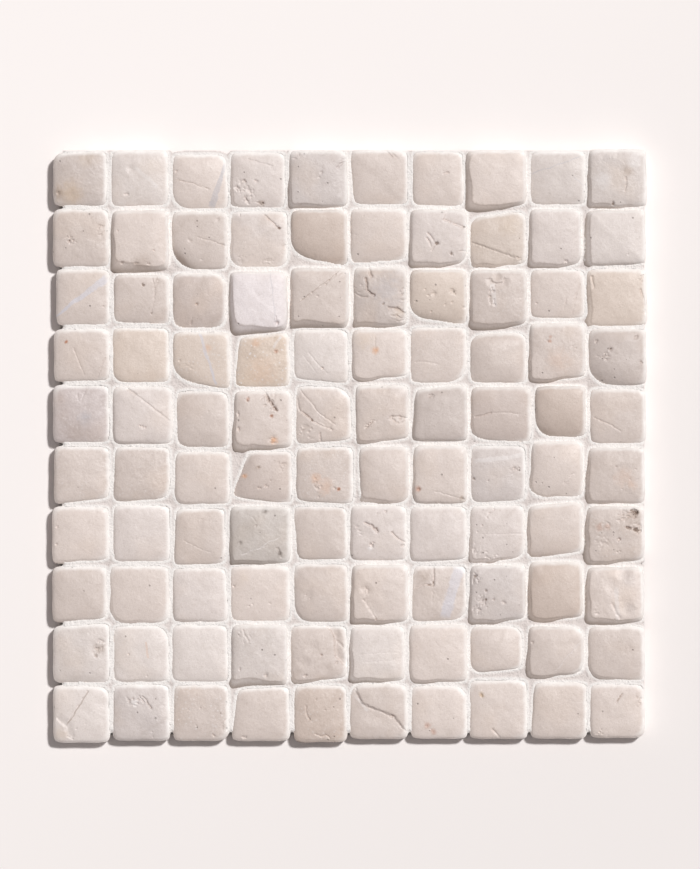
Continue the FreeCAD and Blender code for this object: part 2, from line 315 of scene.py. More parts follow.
# What wear has done to each stone
MARKS = {
    (1, 1): [Pit(-11.5, -8, 1.1, 0.4), Hollow(-5, -9, 3, 0.25)],
    (1, 2): [Hollow(-5, 4, 3, 0.45), Pit(-7, -8.5, 1.2, 0.6)],
    (1, 3): [Crack((-12, -1), (-4, -3), (4, -6), width=0.35, depth=0.2), Pit(-12, 3, 0.9, 0.5)],
    (1, 4): [
        Pit(-8, -2, 1.0, 0.7, 1.5, -45),
        Pit(-11.5, -5.2, 1.0, 0.7, 1.6, -40),
        Pit(-7, -11.5, 1.0, 0.8, 2.4, -52),
        Pit(-2, -2, 0.9, 0.5, 1.5, -60),
        DarkPit(1.5, -13, 0.8, 0.6, 1.4, -60),
        Crack((-6, 9.2), (6, 5.5), width=0.45, depth=0.2),
        Chips(-8, -7, 6, 0.55, 1.3, -50),
        Chips(-1, -13.5, 3, 0.5, 1.6, 0),
    ],
    (1, 5): [
        Pit(0.8, 2.4, 0.8, 0.35),
        Pit(-0.3, 0, 0.7, 0.35),
        Chips(-12, 11, 3, 0.6),
        Chips(-3, 13, 4, 0.4, 2.0, 0),
        Chips(12, 10, 4, 0.5),
        Crack((9, 4.7), (11, 7), (14, 8.2), width=0.7, depth=0.5),
    ],
    (1, 6): [
        Crack((3.3, 13.5), (6.5, 10), width=0.6, depth=0.45),
        Crack((5.6, 13), (9, 9.4), width=0.5, depth=0.3),
    ],
    (1, 7): [Pit(4, 2, 0.7, 0.4, 3, 10)],
    (1, 10): [
        Crack((4, 0), (4.2, -3), (3.5, -7), width=0.6, depth=0.4),
        DarkPit(-2.4, -13.2, 1.0, 0.7, 1.6, 80),
    ],
    (2, 1): [
        Chips(-5, -1.5, 3, 0.7, 1.5, 0),
        *pits((-6, -2), (-4, -2), size=0.7, depth=0.6),
        Chips(10, 4, 2.5, 0.4, 2.0, 90),
    ],
    (2, 2): [
        *pits((-11.5, 3), (6.5, -7), size=0.5),
        DarkPit(-9.5, -13, 0.9, 0.5, 1.6, 0),
        DarkPit(-2, -13.4, 0.8, 0.5, 2.0, 0),
        DarkPit(4, -13.6, 0.6, 0.4, 2.0, 0),
    ],
    (2, 3): [
        Pit(-5.1, -2, 0.9, 0.6, 1.5, -20),
        Pit(11.8, -4.7, 1.0, 0.7, 1.6, -40),
        Pit(8.6, 8.6, 1.1, 0.5, 1.4, 90),
        Pit(0.4, -11.4, 0.7, 0.4),
        Crack((-1.2, -0.4), (7, -2.4), (11, -4.3), width=0.45, depth=0.3, fade=-0.6),
        Slope(-135, 8, 2.2, 6),
        Hollow(-2, -1, 5, 0.25),
    ],
    (2, 4): [
        Crack((2, 11), (6.3, 7), (9.4, 4.3), width=0.6, depth=0.4, fade=-1.0),
        DarkPit(9.6, 4, 0.8, 0.7, 1.4, -40),
        Pit(-10.2, 11, 0.6, 0.5),
        Chips(4, -13, 3, 0.5, 1.6, 0),
        Chips(-9, -11.5, 3, 0.4),
        Chips(13, -4, 2.5, 0.6, 1.4, 90),
    ],
    (2, 5): [Slope(-95, 3, 2.0, 9), Slope(-140, 6, 1.2, 8)],
    (2, 6): [Slope(-90, 4, 1.2, 8), Pit(-8, 10, 0.5, 0.3), Pit(-12, 1, 0.6, 0.4)],
    (2, 7): [
        Ledge((14, 2.5), (6.5, 6.4), (1.5, 8.3), drop=0.7, reach=8, edge=0.4),
        Crack((2, 8.6), (6.5, 7), (13, 4.6), width=0.5, depth=0.35, fade=-0.5),
        DarkPit(12.6, 4.8, 0.8, 0.6),
        DarkPit(-1.2, -3.2, 1.3, 0.8, 1.5, -10),
        Crack((-5.8, 2), (-3, -1.5), width=0.7, depth=0.6),
        Crack((-6, -0.8), (-4, -4.7), width=0.6, depth=0.5),
        Crack((-4, -7), (-2, -4), width=0.5, depth=0.4),
        DarkPit(6.3, -8.6, 0.9, 0.7, 1.4, -40),
        Crack((10.5, -7.2), (14, -7.2), width=0.5, depth=0.4),
    ],
    (2, 8): [
        Ledge((-13.5, -3), (-6.3, -5.1), (2.4, -8.2), (9.4, -10.6), drop=0.5, reach=9, edge=0.35),
        Crack((-13.5, -3), (-6.3, -5.1), (2.4, -8.2), (9.4, -10.6), width=0.6, depth=0.4, fade=0.4),
        Chips(11, -10.5, 3, 0.6),
    ],
    (2, 9): [Pit(4, -12.5, 1.1, 0.6, 1.5)],
    (2, 10): [Pit(5, -9, 0.4, 0.3)],
    (3, 1): [Pit(11, -5, 0.5, 0.3)],
    (3, 2): [
        DarkPit(1.2, 5.7, 0.9, 0.9, 1.5, -50),
        Crack((6, 9), (7, 4.7), (6.7, -2.4), (5.3, -8), width=0.55, depth=0.35),
        Crack((9, 8), (7, 4), width=0.5, depth=0.3),
        Slope(-90, 4, 1.2, 9),
        DarkPit(5.3, -8.5, 0.7, 0.5),
        Chips(9, 8, 3.5, 0.5),
    ],
    (3, 3): [
        Pit(-2, -4, 0.8, 1.0),
        Crack((-5, -14), (-4, -11), width=0.7, depth=0.5),
        Slope(-90, 6, 0.8, 8),
    ],
    (3, 4): [Pit(8.5, -13.5, 1.3, 0.9), Crack((8, -10), (8.5, -14), width=0.5, depth=0.4)],
    (3, 5): [
        Crack((-9, -2), (0, 4), (6, 9), (11, 12), width=0.4, depth=0.22),
        *pits((-1, 0), (3, 6), (-4, 2), (5, 8), (8, 11), size=0.5, depth=0.4),
    ],
    (3, 6): [
        Crack((-5.5, 14.5), (-4, 9.8), width=0.9, depth=0.7, fade=0),
        Crack((-7, 9), (-6.3, 6.3), (-6.4, 3), (-2.7, 0.4), width=0.9, depth=0.9, fade=0),
        Crack((-12, 1.6), (-9, -0.4), (-6.3, -0.4), width=0.6, depth=0.4, fade=0),
        DarkPit(2, -3.8, 0.8, 0.6),
        Crack((4.7, -5.5), (9, -6.2), (13, -8.5), (14.4, -12), width=0.9, depth=0.6, fade=-0.4),
        Ledge((4.7, -5.5), (9, -6.2), (13, -8.5), (14.4, -12), drop=0.5, reach=5, edge=0.6),
        Chips(13, 1, 4, 0.55, 1.3, 90),
        Chips(10, -10, 5, 0.6),
        Chips(-9, 3, 4, 0.5),
    ],
    (3, 7): [
        *pits((-7, 3.5), (-5.5, 0.5), (3, -4), (6.5, -3), (-4, -7.5), (-12, -2.5), (8, 1), size=0.6),
        Pit(-2.5, 1.5, 1.4, 0.7),
        Pit(7, 2.5, 1.4, 0.8, 1.4, -30),
        Pit(12.5, -5.5, 1.0, 0.6),
        Slope(-100, 2, 1.6, 9),
    ],
    (3, 8): [
        Ledge((-3.5, 9.5), (-3, 7.6), (-0.5, 7), (2, 7.4), (2.2, 9.5), drop=0.6, reach=4, edge=0.4),
        Hollow(-0.8, 10, 3, 0.6),
        Chips(-3, 1, 2.6, 0.8, 2.6, 85),
        Pit(-2, -4.2, 0.8, 0.6),
    ],
    (3, 9): [
        Crack((4, -1), (3, -6), width=0.35, depth=0.2),
        Crack((11, 6), (9, 0), (7, -9), width=0.35, depth=0.2),
        Pit(-11, -3.5, 0.7, 0.5),
    ],
    (3, 10): [
        Chips(12, 9, 3, 0.8, 1.6, 60),
        Crack((11.4, 3.1), (13.4, -2.4), (13.6, -8.6), width=0.8, depth=0.5, fade=-0.4),
        Crack((-13, 10), (-12.2, 4.3), width=0.7, depth=0.5),
    ],
    (4, 1): [
        Crack((-4, 4), (-1, -3), (1.5, -9.5), width=0.35, depth=0.2),
        Crack((12, -1), (10, -6), (8, -11), width=0.4, depth=0.25),
    ],
    (4, 3): [Slope(-125, 8, 2.0, 6), Chips(-6, -6, 4, 0.35), Pit(-10.6, -2.4, 0.8, 0.5)],
    (4, 4): [Pit(8, 2.5, 0.5, 0.3)],
    (4, 5): [
        Pit(1.5, -6, 0.9, 0.6),
        Crack((-6, 2), (-1, -4), (4, -9), width=0.35, depth=0.15),
        Crack((-8, 0), (-2, -8), width=0.35, depth=0.12),
    ],
    (4, 6): [Crack((-2, 9), (-2, 3), width=0.3, depth=0.12)],
    (4, 7): [Crack((-12, -3), (-7, -3), (-1, -4), width=0.6, depth=0.15)],
    (4, 8): [Slope(90, 4, 0.8, 8), Hollow(3, 2, 8, 0.2)],
    (4, 9): [*pits((7, 5), (9, 4), (6, 7), size=0.4, depth=0.25), Pit(-5.5, 7.5, 0.6, 0.4)],
    (4, 10): [
        Pit(-11, 7.5, 1.1, 0.6),
        DarkPit(-3.8, 3.6, 0.7, 0.8),
        Hollow(-3.8, 3.4, 1.6, 0.5),
        Pit(9, 9.4, 1.1, 0.5, 1.4, 30),
        Pit(11.8, -3.4, 1.0, 0.6, 1.4, -60),
        Chips(-6, -0.2, 3, 0.7, 2.4, 0),
        Slope(-120, 6, 1.4, 8),
    ],
    (5, 1): [
        Crack((-2, 11), (-1, 7), width=0.35, depth=0.2),
        Crack((2, 12), (0, 7), width=0.35, depth=0.2),
    ],
    (5, 2): [
        Crack((-6.7, 13.4), (-2.7, 10.8), width=0.9, depth=0.7, fade=0.5),
        Crack((-2.7, 10.8), (7, 3.1), (15, -3), width=0.5, depth=0.3),
        *pits((-0.4, -5), (0.8, -5.5), (2, -5.9), size=0.6, depth=0.5),
        Hollow(2.5, -14, 3, 0.4),
    ],
    (5, 3): [*pits((-7, -1), (4, 2), (-3, -6), size=0.4, depth=0.25)],
    (5, 4): [
        DarkPit(-6, 9, 0.6, 0.5),
        DarkPit(-6.2, 7.5, 0.7, 0.5),
        DarkPit(5.9, -0.2, 0.7, 0.5),
        Pit(-11, 0.8, 0.9, 0.6, 1.8, 100),
        Pit(-11, -6.7, 0.8, 0.6, 2.0, 90),
        Pit(7.6, 3.4, 1.0, 0.8, 1.8, -35),
        Crack((2, 12.6), (3.9, 8.6), (8.2, 2.7), width=0.9, depth=0.6, fade=-0.4),
        Chips(4, 6, 4.5, 0.7, 1.5, -60),
        Crack((7.2, 13), (7.4, 10), width=0.5, depth=0.3),
        Chips(6.5, -12.5, 3, 0.5),
    ],
    (5, 5): [
        Crack((-11.4, 8.6), (-10.2, 2.4), (-7, 0.4), (-3.9, -2.4), width=0.7, depth=0.7, fade=0),
        Crack((-3.9, -2.4), (0, -4.6), (6.3, -7), width=0.6, depth=0.5, fade=0.4),
        Crack((-9.8, 12.6), (-3.9, 6.3), (-0.8, 1.6), (7.9, -4.7), width=0.5, depth=0.25),
        Ledge((6, -7), (-3.9, -2.4), (-10.2, 2.4), drop=0.35, reach=10, edge=0.6),
        Crack((0, -9), (0.4, -13), width=0.7, depth=0.5, fade=0),
        Chips(-7, -9, 6, 0.5),
    ],
    (5, 6): [
        Chips(-4.5, -4.2, 1.8, 0.8, 2.6, 35),
        Ledge((5, -0.6), (8, -0.2), (14, -1.2), drop=0.4, reach=5, edge=0.4),
        Crack((6, -0.4), (8, -0.2), (14, -1.2), width=0.5, depth=0.4, fade=0),
        Chips(9, -2, 3, 0.5, 1.8, 0),
    ],
    (5, 7): [Pit(-4, 10, 1.2, 0.6, 1.6), Hollow(-6, 8, 4, 0.3), Slope(110, 9, 1.0, 6)],
    (5, 8): [
        Crack((-11.5, -0.5), (-8, 0), (-4, 1.5), width=0.7, depth=0.6, fade=0),
        Crack((-4, 1.5), (3, 1.5), (10.5, 1), width=0.4, depth=0.3),
        Slope(-90, 4, 1.0, 8),
    ],
    (5, 9): [Slope(-95, -1, 1.4, 9), Slope(-140, 5, 1.2, 8)],
    (5, 10): [Crack((-12, -1), (-5, -4), (1.5, -8), width=0.45, depth=0.3)],
    (6, 4): [
        DarkPit(-0.8, 3.9, 0.6, 0.4),
        Pit(-0.4, -6.4, 0.8, 0.5, 1.8, -15),
        Pit(2.7, -5.1, 0.6, 0.5, 1.8, 45),
        Pit(3.8, -5.6, 0.5, 0.5, 1.8, 45),
        Pit(5.3, -2.7, 0.5, 0.5),
        Chips(11, 6, 3, 0.45, 1.6, 90),
        Pit(-8, -0.2, 0.7, 0.3),
        Slope(165, 3, 1.2, 7),
    ],
    (6, 5): [
        DarkPit(9.5, -7, 0.7, 0.5),
        Pit(-2, -1.5, 0.6, 0.4),
        Chips(-1, -5, 2.5, 0.5, 1.4, -60),
        Pit(7.2, -6.4, 0.8, 0.5),
        Pit(-0.4, -10.8, 0.6, 0.4),
    ],
    (6, 7): [
        Pit(12.5, -12, 1.1, 0.6, 1.6, -20),
        Pit(-10, -7, 1.0, 0.6),
        Crack((-2, -8), (12, -12), width=0.4, depth=0.2),
    ],
    (6, 8): [
        *pits((7.6, 3.4), (8.8, 3.0), (10.2, 3.4), size=0.7, depth=0.5),
        Chips(7.5, 2.6, 2.5, 0.6, 1.6, 10),
        DarkPit(-12.4, -2, 0.8, 0.6, 1.8, -40),
        DarkPit(-5.5, -2.8, 0.4, 0.4),
    ],
    (6, 9): [
        Chips(5, -2, 1.4, 0.5, 4.5, 48),
        Slope(-90, 4, 1.0, 9),
    ],
    (6, 10): [Pit(-1, 4.5, 0.7, 0.4), *pits((6, -2), (2, -7), (9, 3), size=0.4, depth=0.25)],
    (7, 1): [Pit(-12, 4, 0.8, 0.4), Pit(-12.5, -5, 0.9, 0.5)],
    (7, 3): [
        Crack((-8, -3), (-2, -6), (5, -9), width=0.35, depth=0.14),
        Crack((0, 8), (9, 6), width=0.35, depth=0.1),
    ],
    (7, 4): [
        *pits((2.5, 12), (-10, -4), (-2, 4.5), size=0.8, depth=0.3),
        Crack((9, -7), (10.5, -11), width=0.9, depth=0.5),
        Crack((-1, -7), (4, -5), (10, -1), width=0.4, depth=0.12),
        Crack((-9, -10), (-1, -7), width=0.4, depth=0.12),
        Crack((-4, 9), (0, 4), width=0.4, depth=0.12),
    ],
    (7, 6): [
        Crack((-7, 5.9), (-3.9, 4.5), (-0.8, 1.6), width=1.0, depth=0.7, fade=-0.3),
        Pit(-4, -5.4, 1.1, 0.8, 1.7, -70),
        Pit(-3, -4, 0.7, 0.5),
        Crack((6.3, 1.2), (9.4, -2), (13, -3.9), width=0.7, depth=0.5, fade=0),
        Pit(11.8, -5.5, 0.9, 0.5, 1.5, 40),
        Chips(-10, 2.5, 3.5, 0.5, 1.6, -10),
        Pit(3.1, 11.8, 0.7, 0.4),
        DarkPit(-1.2, 10.8, 0.5, 0.4),
        Hollow(-7, 0, 5, 0.35),
    ],
    (7, 8): [
        *pits(
            (-2.5, 14), (-2.5, 12.8), (-4.6, 11), (-5.5, 8.6),
            (-8.2, 4.7), (-10.8, 1.7), size=0.5, depth=0.5,
        ),
        Crack((-8, 0.4), (12, 0.6), width=0.4, depth=0.12),
        Chips(-5, -11, 3.5, 0.6, 2.4, -10),
        Chips(-11, -7, 3, 0.5, 1.4, 90),
    ],
    (7, 9): [Slope(-95, -1, 1.2, 9)],
    (7, 10): [
        DarkPit(8, 12, 1.7, 1.1, 1.8, -38),
        Chips(8, 10.5, 4, 1.0),
        DarkPit(5.2, 3.6, 0.9, 0.8, 2.2, -15),
        DarkPit(9, 2.6, 1.3, 0.9, 1.7, -25),
        Chips(10, 3, 3.5, 0.9),
        Pit(11, 2, 0.8, 0.6, 1.4, 10),
        Pit(0.4, -2.4, 0.9, 0.7, 1.5, 60),
        DarkPit(-0.3, -8.6, 0.5, 0.4),
        DarkPit(1.2, -8.4, 0.5, 0.4),
        Chips(2, 10, 4.5, 0.6),
        Chips(-8, -3, 5, 0.35),
        Chips(-6, 5, 3, 0.35, 1.6, 0),
    ],
    (8, 3): [],
    (8, 4): [*pits((-5.5, -6), (5, -4.5), (-4, -5), size=0.5, depth=0.3), Pit(-13, 4, 0.9, 0.6)],
    (8, 5): [Hollow(-6, -0.5, 4, 0.35), *pits((-7, 0), (-5, -2), size=0.5, depth=0.3)],
    (8, 6): [
        Crack((-7.9, -2.4), (-5, -7), (-1.6, -12.2), width=0.7, depth=0.3, fade=0),
        Hollow(-6.7, 2.6, 4, 0.6),
        Chips(-7.5, 1.5, 2.5, 0.6, 1.4, 60),
        Ledge((-1, -12), (-5, -7), (-8, -2), drop=0.3, reach=7),
        DarkPit(-1.6, -12.4, 0.6, 0.4, 1.6, 90),
    ],
    (8, 7): [
        Ledge((-2.8, 15), (-3, 4.2), (-7, 4.6), (-13, 3), drop=0.45, reach=9, edge=0.4),
        Crack((-2.8, 14.5), (-2.6, 9), (-2.9, 4.4), width=0.6, depth=0.6, fade=0),
        Crack((-2.9, 4.4), (-7, 4.9), (-12, 3.2), width=0.5, depth=0.4, fade=0),
        DarkPit(-4.8, 4.9, 0.6, 0.5, 1.8, 0),
        DarkPit(-2.8, 6, 0.5, 0.5, 1.8, 90),
    ],
    (8, 8): [
        DarkPit(-12, 9, 0.9, 0.7),
        DarkPit(-6.3, 2, 0.8, 0.6, 1.4, 60),
        DarkPit(-6.3, -2.5, 0.9, 0.7),
        Pit(-7.4, -3.4, 1.2, 0.7),
        Pit(2.7, -4.1, 1.0, 0.5, 1.4, -20),
        DarkPit(-2.4, -2.4, 0.6, 0.4, 1.6, -10),
        DarkPit(-3.5, 12.8, 0.5, 0.4),
        Chips(-12, 8, 3.5, 0.7, 1.6, 90),
        Chips(-9, -5, 5, 0.8, 1.3, 70),
    ],
    (8, 10): [
        Hollow(4, -6, 6, 0.6),
        Hollow(3, 11, 5, 0.7),
        Hollow(-4, 5, 5, 0.4),
        Crack((-3, -4.7), (-1, -9), (0.8, -11.8), width=1.0, depth=0.3, fade=0),
        Chips(-10.6, -8.2, 2.5, 0.6),
    ],
    (9, 1): [
        Hollow(7.5, 2, 5, 0.5),
        DarkPit(7.5, -0.8, 0.7, 0.5, 1.6, -50),
        Chips(9, 4, 2.5, 0.7, 2.6, 68),
    ],
    (9, 2): [Pit(-6, 0, 0.6, 0.5), Pit(3, -11, 0.5, 0.3)],
    (9, 4): [
        DarkPit(-10, -7.5, 0.5, 0.5, 2.0, 90),
        Hollow(3, -10.3, 1.8, 0.4),
        Pit(3, -10.8, 0.8, 0.4, 1.6, 0),
        Chips(-8, 9, 4, 0.35, 1.6, -60),
    ],
    (9, 5): [
        Ledge((13.4, -6.3), (7.9, -1.6), (7.3, 2.4), (7.3, 8.6), (5.5, 11.8), (2.4, 14), drop=1.3, reach=5),
        Crack((13.4, -6.3), (7.9, -1.6), (7.3, 2.4), (7.3, 8.6), (5.5, 11.8), width=0.5, depth=0.35),
        DarkPit(0.9, -0.2, 0.7, 0.6),
        DarkPit(-6.7, -10.6, 0.7, 0.5),
        Pit(-7.6, -11, 0.8, 0.5),
        Hollow(-4, 3, 5, 0.5),
        Hollow(-8, -4, 4, 0.5),
        Hollow(3, -7, 4, 0.4),
        Crack((9, 6.5), (12.5, 3), width=1.0, depth=0.3, fade=0),
        Chips(10, -5, 3, 0.5),
    ],
    (9, 6): [
        Crack((-10, 0), (10, 1), width=0.3, depth=0.08),
        Crack((-8, -4), (8, -3), width=0.3, depth=0.08),
    ],
    (9, 9): [Crack((-1, -8), (5, -1), (11, 6), width=0.35, depth=0.15), Pit(-13, 6, 1.0, 0.5)],
    (9, 10): [Rough(5, 2, 4, 0.2)],
    (10, 1): [
        Crack((3.1, 11.4), (-6.3, -3.1), width=0.4, depth=0.2, fade=0),
        *pits((3.1, 11), (-2.2, -7.7), (2, -5), (-1.5, 4), (0.6, 7.6), size=0.5, depth=0.3),
        Ledge((-4, -13), (-7, -11.5), (-8, -7), (-13.5, -2.5), drop=0.6, reach=5, edge=1.0),
        Crack((-4, -13), (-7, -11.5), (-8, -7), width=0.6, depth=0.35, fade=0.5),
    ],
    (10, 2): [
        Crack((-0.8, 9), (1.6, 5.5), width=0.6, depth=0.6, fade=0),
        Crack((1, 8.8), (5.2, 2.8), width=0.6, depth=0.7, fade=0),
        Chips(-3.5, 6.5, 3.5, 0.8, 1.5, -20),
        *pits((5.9, -9), (6.2, -11.5), size=0.5, depth=0.4),
        Slope(45, 5, 0.6, 9),
    ],
    (10, 3): [
        Pit(6.7, -11, 0.6, 0.5, 2.2, -25),
        *pits((-2, -6), (0, 3), (-6, 2), size=0.5, depth=0.3),
        Chips(13, -6, 3, 0.6, 1.5, 90),
    ],
    (10, 4): [Pit(-8, -12, 1.0, 0.5, 2.0)],
    (10, 5): [
        Crack((-7, 4), (-6.6, 0), (-5.4, -2.8), width=0.6, depth=0.3, fade=0),
        DarkPit(-5.2, -2.4, 0.5, 0.3),
        Crack((-2.4, -10), (1, -11.5), (3, -10.6), (5, -12), width=0.6, depth=0.3, fade=-0.4),
        *pits((-2, 7), (-4, -4), (3, 2), size=0.4, depth=0.25),
    ],
    (10, 6): [
        Ledge((-12, 13), (-9, 5.5), (-5, 3.5), (7, -1), (13.5, -9), drop=0.9, reach=12, edge=0.5),
        Crack((-12, 13), (-9, 5.5), (-5, 3.5), (7, -1), (13.5, -9), width=0.7, depth=0.5, fade=0),
        Pit(6, -1.5, 0.9, 0.5),
    ],
    (10, 7): [*pits((-6, -6), (-4, -8), (-3, -9), size=0.4, depth=0.3)],
    (10, 8): [
        Pit(-8.5, 9.5, 0.8, 0.5, 1.6, 90),
        Crack((-3, -8), (-1, -10), (0.5, -12), width=0.8, depth=0.5),
    ],
    (10, 10): [
        Crack((2.2, 10), (-0.8, 5.5), width=0.5, depth=0.3, fade=0),
        Chips(-8, -10, 3, 0.8, 1.4, 0),
        Chips(10.5, 7, 3, 0.5, 1.6, 90),
    ],
}


class Vein:
    """A band of another tint between two points, which wanders a little and may widen."""

    def __init__(self, x1, y1, x2, y2, width, tint, strength=0.8, end_width=None):
        self.start, self.end, self.width = (x1, y1), (x2, y2), width
        self.end_width = width if end_width is None else end_width
        self.tint, self.strength = tint, strength

    def place(self, x, y):
        """Where points lie across and along the band: inside it both are between -1 and 1."""
        run_x, run_y = self.end[0] - self.start[0], self.end[1] - self.start[1]
        length = math.hypot(run_x, run_y)
        east = x - (self.start[0] + self.end[0]) / 2
        north = y - (self.start[1] + self.end[1]) / 2
        along = (east * run_x + north * run_y) / length / (length / 2)
        here = self.width + (self.end_width - self.width) * np.clip(along / 2 + 0.5, 0, 1)
        aside = (east * run_y - north * run_x) / length
        aside += 0.7 * waves(x, y, 0.25, SEED) + 0.2 * waves(x, y, 1.2, SEED)
        return aside / (here / 2), along


class Stain:
    """A soft patch of another tint."""

    def __init__(self, x, y, size, tint, strength=0.8):
        self.x, self.y, self.size, self.tint, self.strength = x, y, size, tint, strength

    def place(self, x, y):
        wander = self.size * 0.35
        east = x - self.x + wander * waves(x, y, 0.5, SEED)
        north = y - self.y + wander * waves(x, y, 0.5, SEED + 5)
        return east / self.size, north / self.size


# What is tinted on each stone: at most two veins and three stains
TINTS = {
    (1, 1): [Stain(-6, -9, 8, OCHRE, 0.5), Stain(-11, -8, 3, BROWN, 0.3), Stain(3, 9, 6, OCHRE, 0.25)],
    (1, 2): [Vein(-3, 5, 8, -5, 2, MILK, 0.4)],
    (1, 3): [Vein(5.6, -15, 12.6, 7, 3.4, BLUE_GREY, 0.7, 1.6), Vein(-12, -1, 4, -6, 0.5, BROWN, 0.35)],
    (1, 4): [Stain(0.5, -13, 2.2, BROWN, 0.5)],
    (1, 9): [Vein(-13, 2, 11, 10, 0.6, BLUE_GREY, 0.5), Vein(8, 0, 13, -4, 0.6, BLUE_GREY, 0.4)],
    (1, 10): [
        Vein(-7, 10, 4, 4, 4, SMUDGE, 0.3),
        Stain(5, 3, 3.4, BROWN, 0.35),
        Stain(-8, -2, 6, MILK, 0.5),
        Stain(9, 9, 5, MILK, 0.5),
    ],
    (2, 2): [Stain(0, -14, 7, BROWN, 0.3)],
    (2, 8): [Stain(5, 6, 7, OCHRE, 0.3)],
    (3, 1): [Vein(-13, -10, 13, 9, 1.0, BLUE_WHITE, 0.9, 4.0)],
    (3, 4): [Vein(5, 13, 8, -14, 0.8, BLUE_GREY, 0.35)],
    (3, 5): [Vein(-10, -2.7, 10.6, 13, 0.5, BROWN, 0.4)],
    (3, 6): [Stain(4, 4, 9, BLUE_GREY, 0.4), Stain(10, -8, 4, OCHRE, 0.35)],
    (3, 8): [Vein(-3, 6, -2, -5, 2.4, MILK, 0.5)],
    (4, 1): [Stain(-7.5, 7, 1.3, RUST, 0.9)],
    (4, 3): [
        Vein(-0.5, 13, 2.5, 1, 1.5, BLUE_WHITE, 0.9),
        Vein(2.5, 1, 8, -14, 1.3, BLUE_WHITE, 0.9),
        Stain(4, 4, 2.5, ORANGE, 0.4),
    ],
    (4, 4): [
        Vein(7, 4, 10.5, 9.5, 1.4, MILK, 0.6),
        Stain(8, 2.5, 1.6, RUST, 0.5),
        Stain(-2, 6.5, 2.6, ORANGE, 0.4),
        Stain(1, -8, 9, ORANGE, 0.18),
    ],
    (4, 6): [
        Vein(-2, 10, -2, 3, 0.5, BROWN, 0.3),
        Stain(-2, 3, 2.4, ORANGE, 0.9),
        Stain(-7, 8, 6, HONEY, 0.7),
    ],
    (4, 9): [Stain(-4, 7.6, 1.3, RUST, 0.6), Stain(0, -2, 8, ORANGE, 0.18), Stain(-3.8, 9.5, 1, RUST, 0.4)],
    (5, 1): [Stain(2, -1, 4, BLUE_GREY, 0.5), Stain(-3, -9, 8, BROWN, 0.2)],
    (5, 4): [
        Stain(-6, 8.2, 1.5, RUST, 0.5),
        Stain(5.9, -0.2, 1.4, RUST, 0.7),
        Stain(7, -12.3, 2.6, ORANGE, 1.0),
    ],
    (6, 4): [Stain(-8, -0.5, 1.8, ORANGE, 0.8), Stain(-1, 4, 1.6, BROWN, 0.5)],
    (6, 5): [
        Stain(9.5, -7, 1.4, RUST, 0.8),
        Stain(-2, -1.5, 3.5, ORANGE, 0.45),
        Stain(3, -6, 5, ORANGE, 0.3),
    ],
    (6, 7): [Stain(12, -12, 2, BROWN, 0.7), Stain(-10.5, -7, 2, RUST, 0.5)],
    (6, 8): [Vein(-12, 7, 14, 10, 2.2, MILK, 0.5)],
    (6, 10): [Stain(3, -1, 6, ORANGE, 0.18), Stain(7, -5, 3, ORANGE, 0.25)],
    (7, 4): [
        Vein(-1, -7, 10, -1, 0.8, MILK, 0.4),
        Vein(-9, -10, -1, -7, 0.8, MILK, 0.35),
        Stain(10, -9.5, 1.8, DARK, 0.8),
        Stain(2.5, 12, 1.8, DARK, 0.6),
        Stain(-10, -4, 1.6, DARK, 0.45),
    ],
    (7, 6): [Stain(-4.7, -7, 1.8, MILK, 0.6)],
    (7, 10): [Stain(-9, 4, 2.5, RUST, 0.3), Stain(-5, 4, 2, RUST, 0.3), Stain(8, 9, 5, BROWN, 0.3)],
    (8, 7): [Vein(10.5, 15, 3, -11, 5.5, BLUE_WHITE, 0.85), Stain(-7, 9, 4, BROWN, 0.3)],
    (8, 4): [Stain(-8, 8, 4, HONEY, 0.35)],
    (8, 10): [
        Vein(-1, 3, 0, -13, 2.4, MILK, 0.4),
        Stain(5, 8, 5, SMUDGE, 0.25),
        Stain(6, -7, 4, SMUDGE, 0.3),
    ],
    (9, 1): [Stain(9, 2, 4, BROWN, 0.3)],
    (9, 2): [Vein(2.4, 6, 3.4, -2, 1.0, ORANGE, 0.35)],
    (9, 9): [Vein(-1, -8, 11, 6, 0.5, MILK, 0.4)],
    (10, 1): [Vein(3.5, 11, -7, -5, 0.6, BROWN, 0.5), Stain(-10, -10, 4, OCHRE, 0.3)],
    (10, 2): [Stain(6, -4, 8, SMUDGE, 0.2), Stain(-3, 5.8, 2.4, MILK, 0.7)],
    (10, 6): [Vein(-12.5, 9, -6, 1.5, 1.5, MILK, 0.5)],
    (10, 7): [Stain(-6, -6, 2.4, RUST, 0.4), Stain(-3, -9, 2, RUST, 0.4)],
    (10, 8): [Stain(-8.5, 9.5, 1.8, OCHRE, 0.9)],
    (10, 10): [Vein(2, 10, -0.5, 6.5, 0.8, BROWN, 0.6)],
}

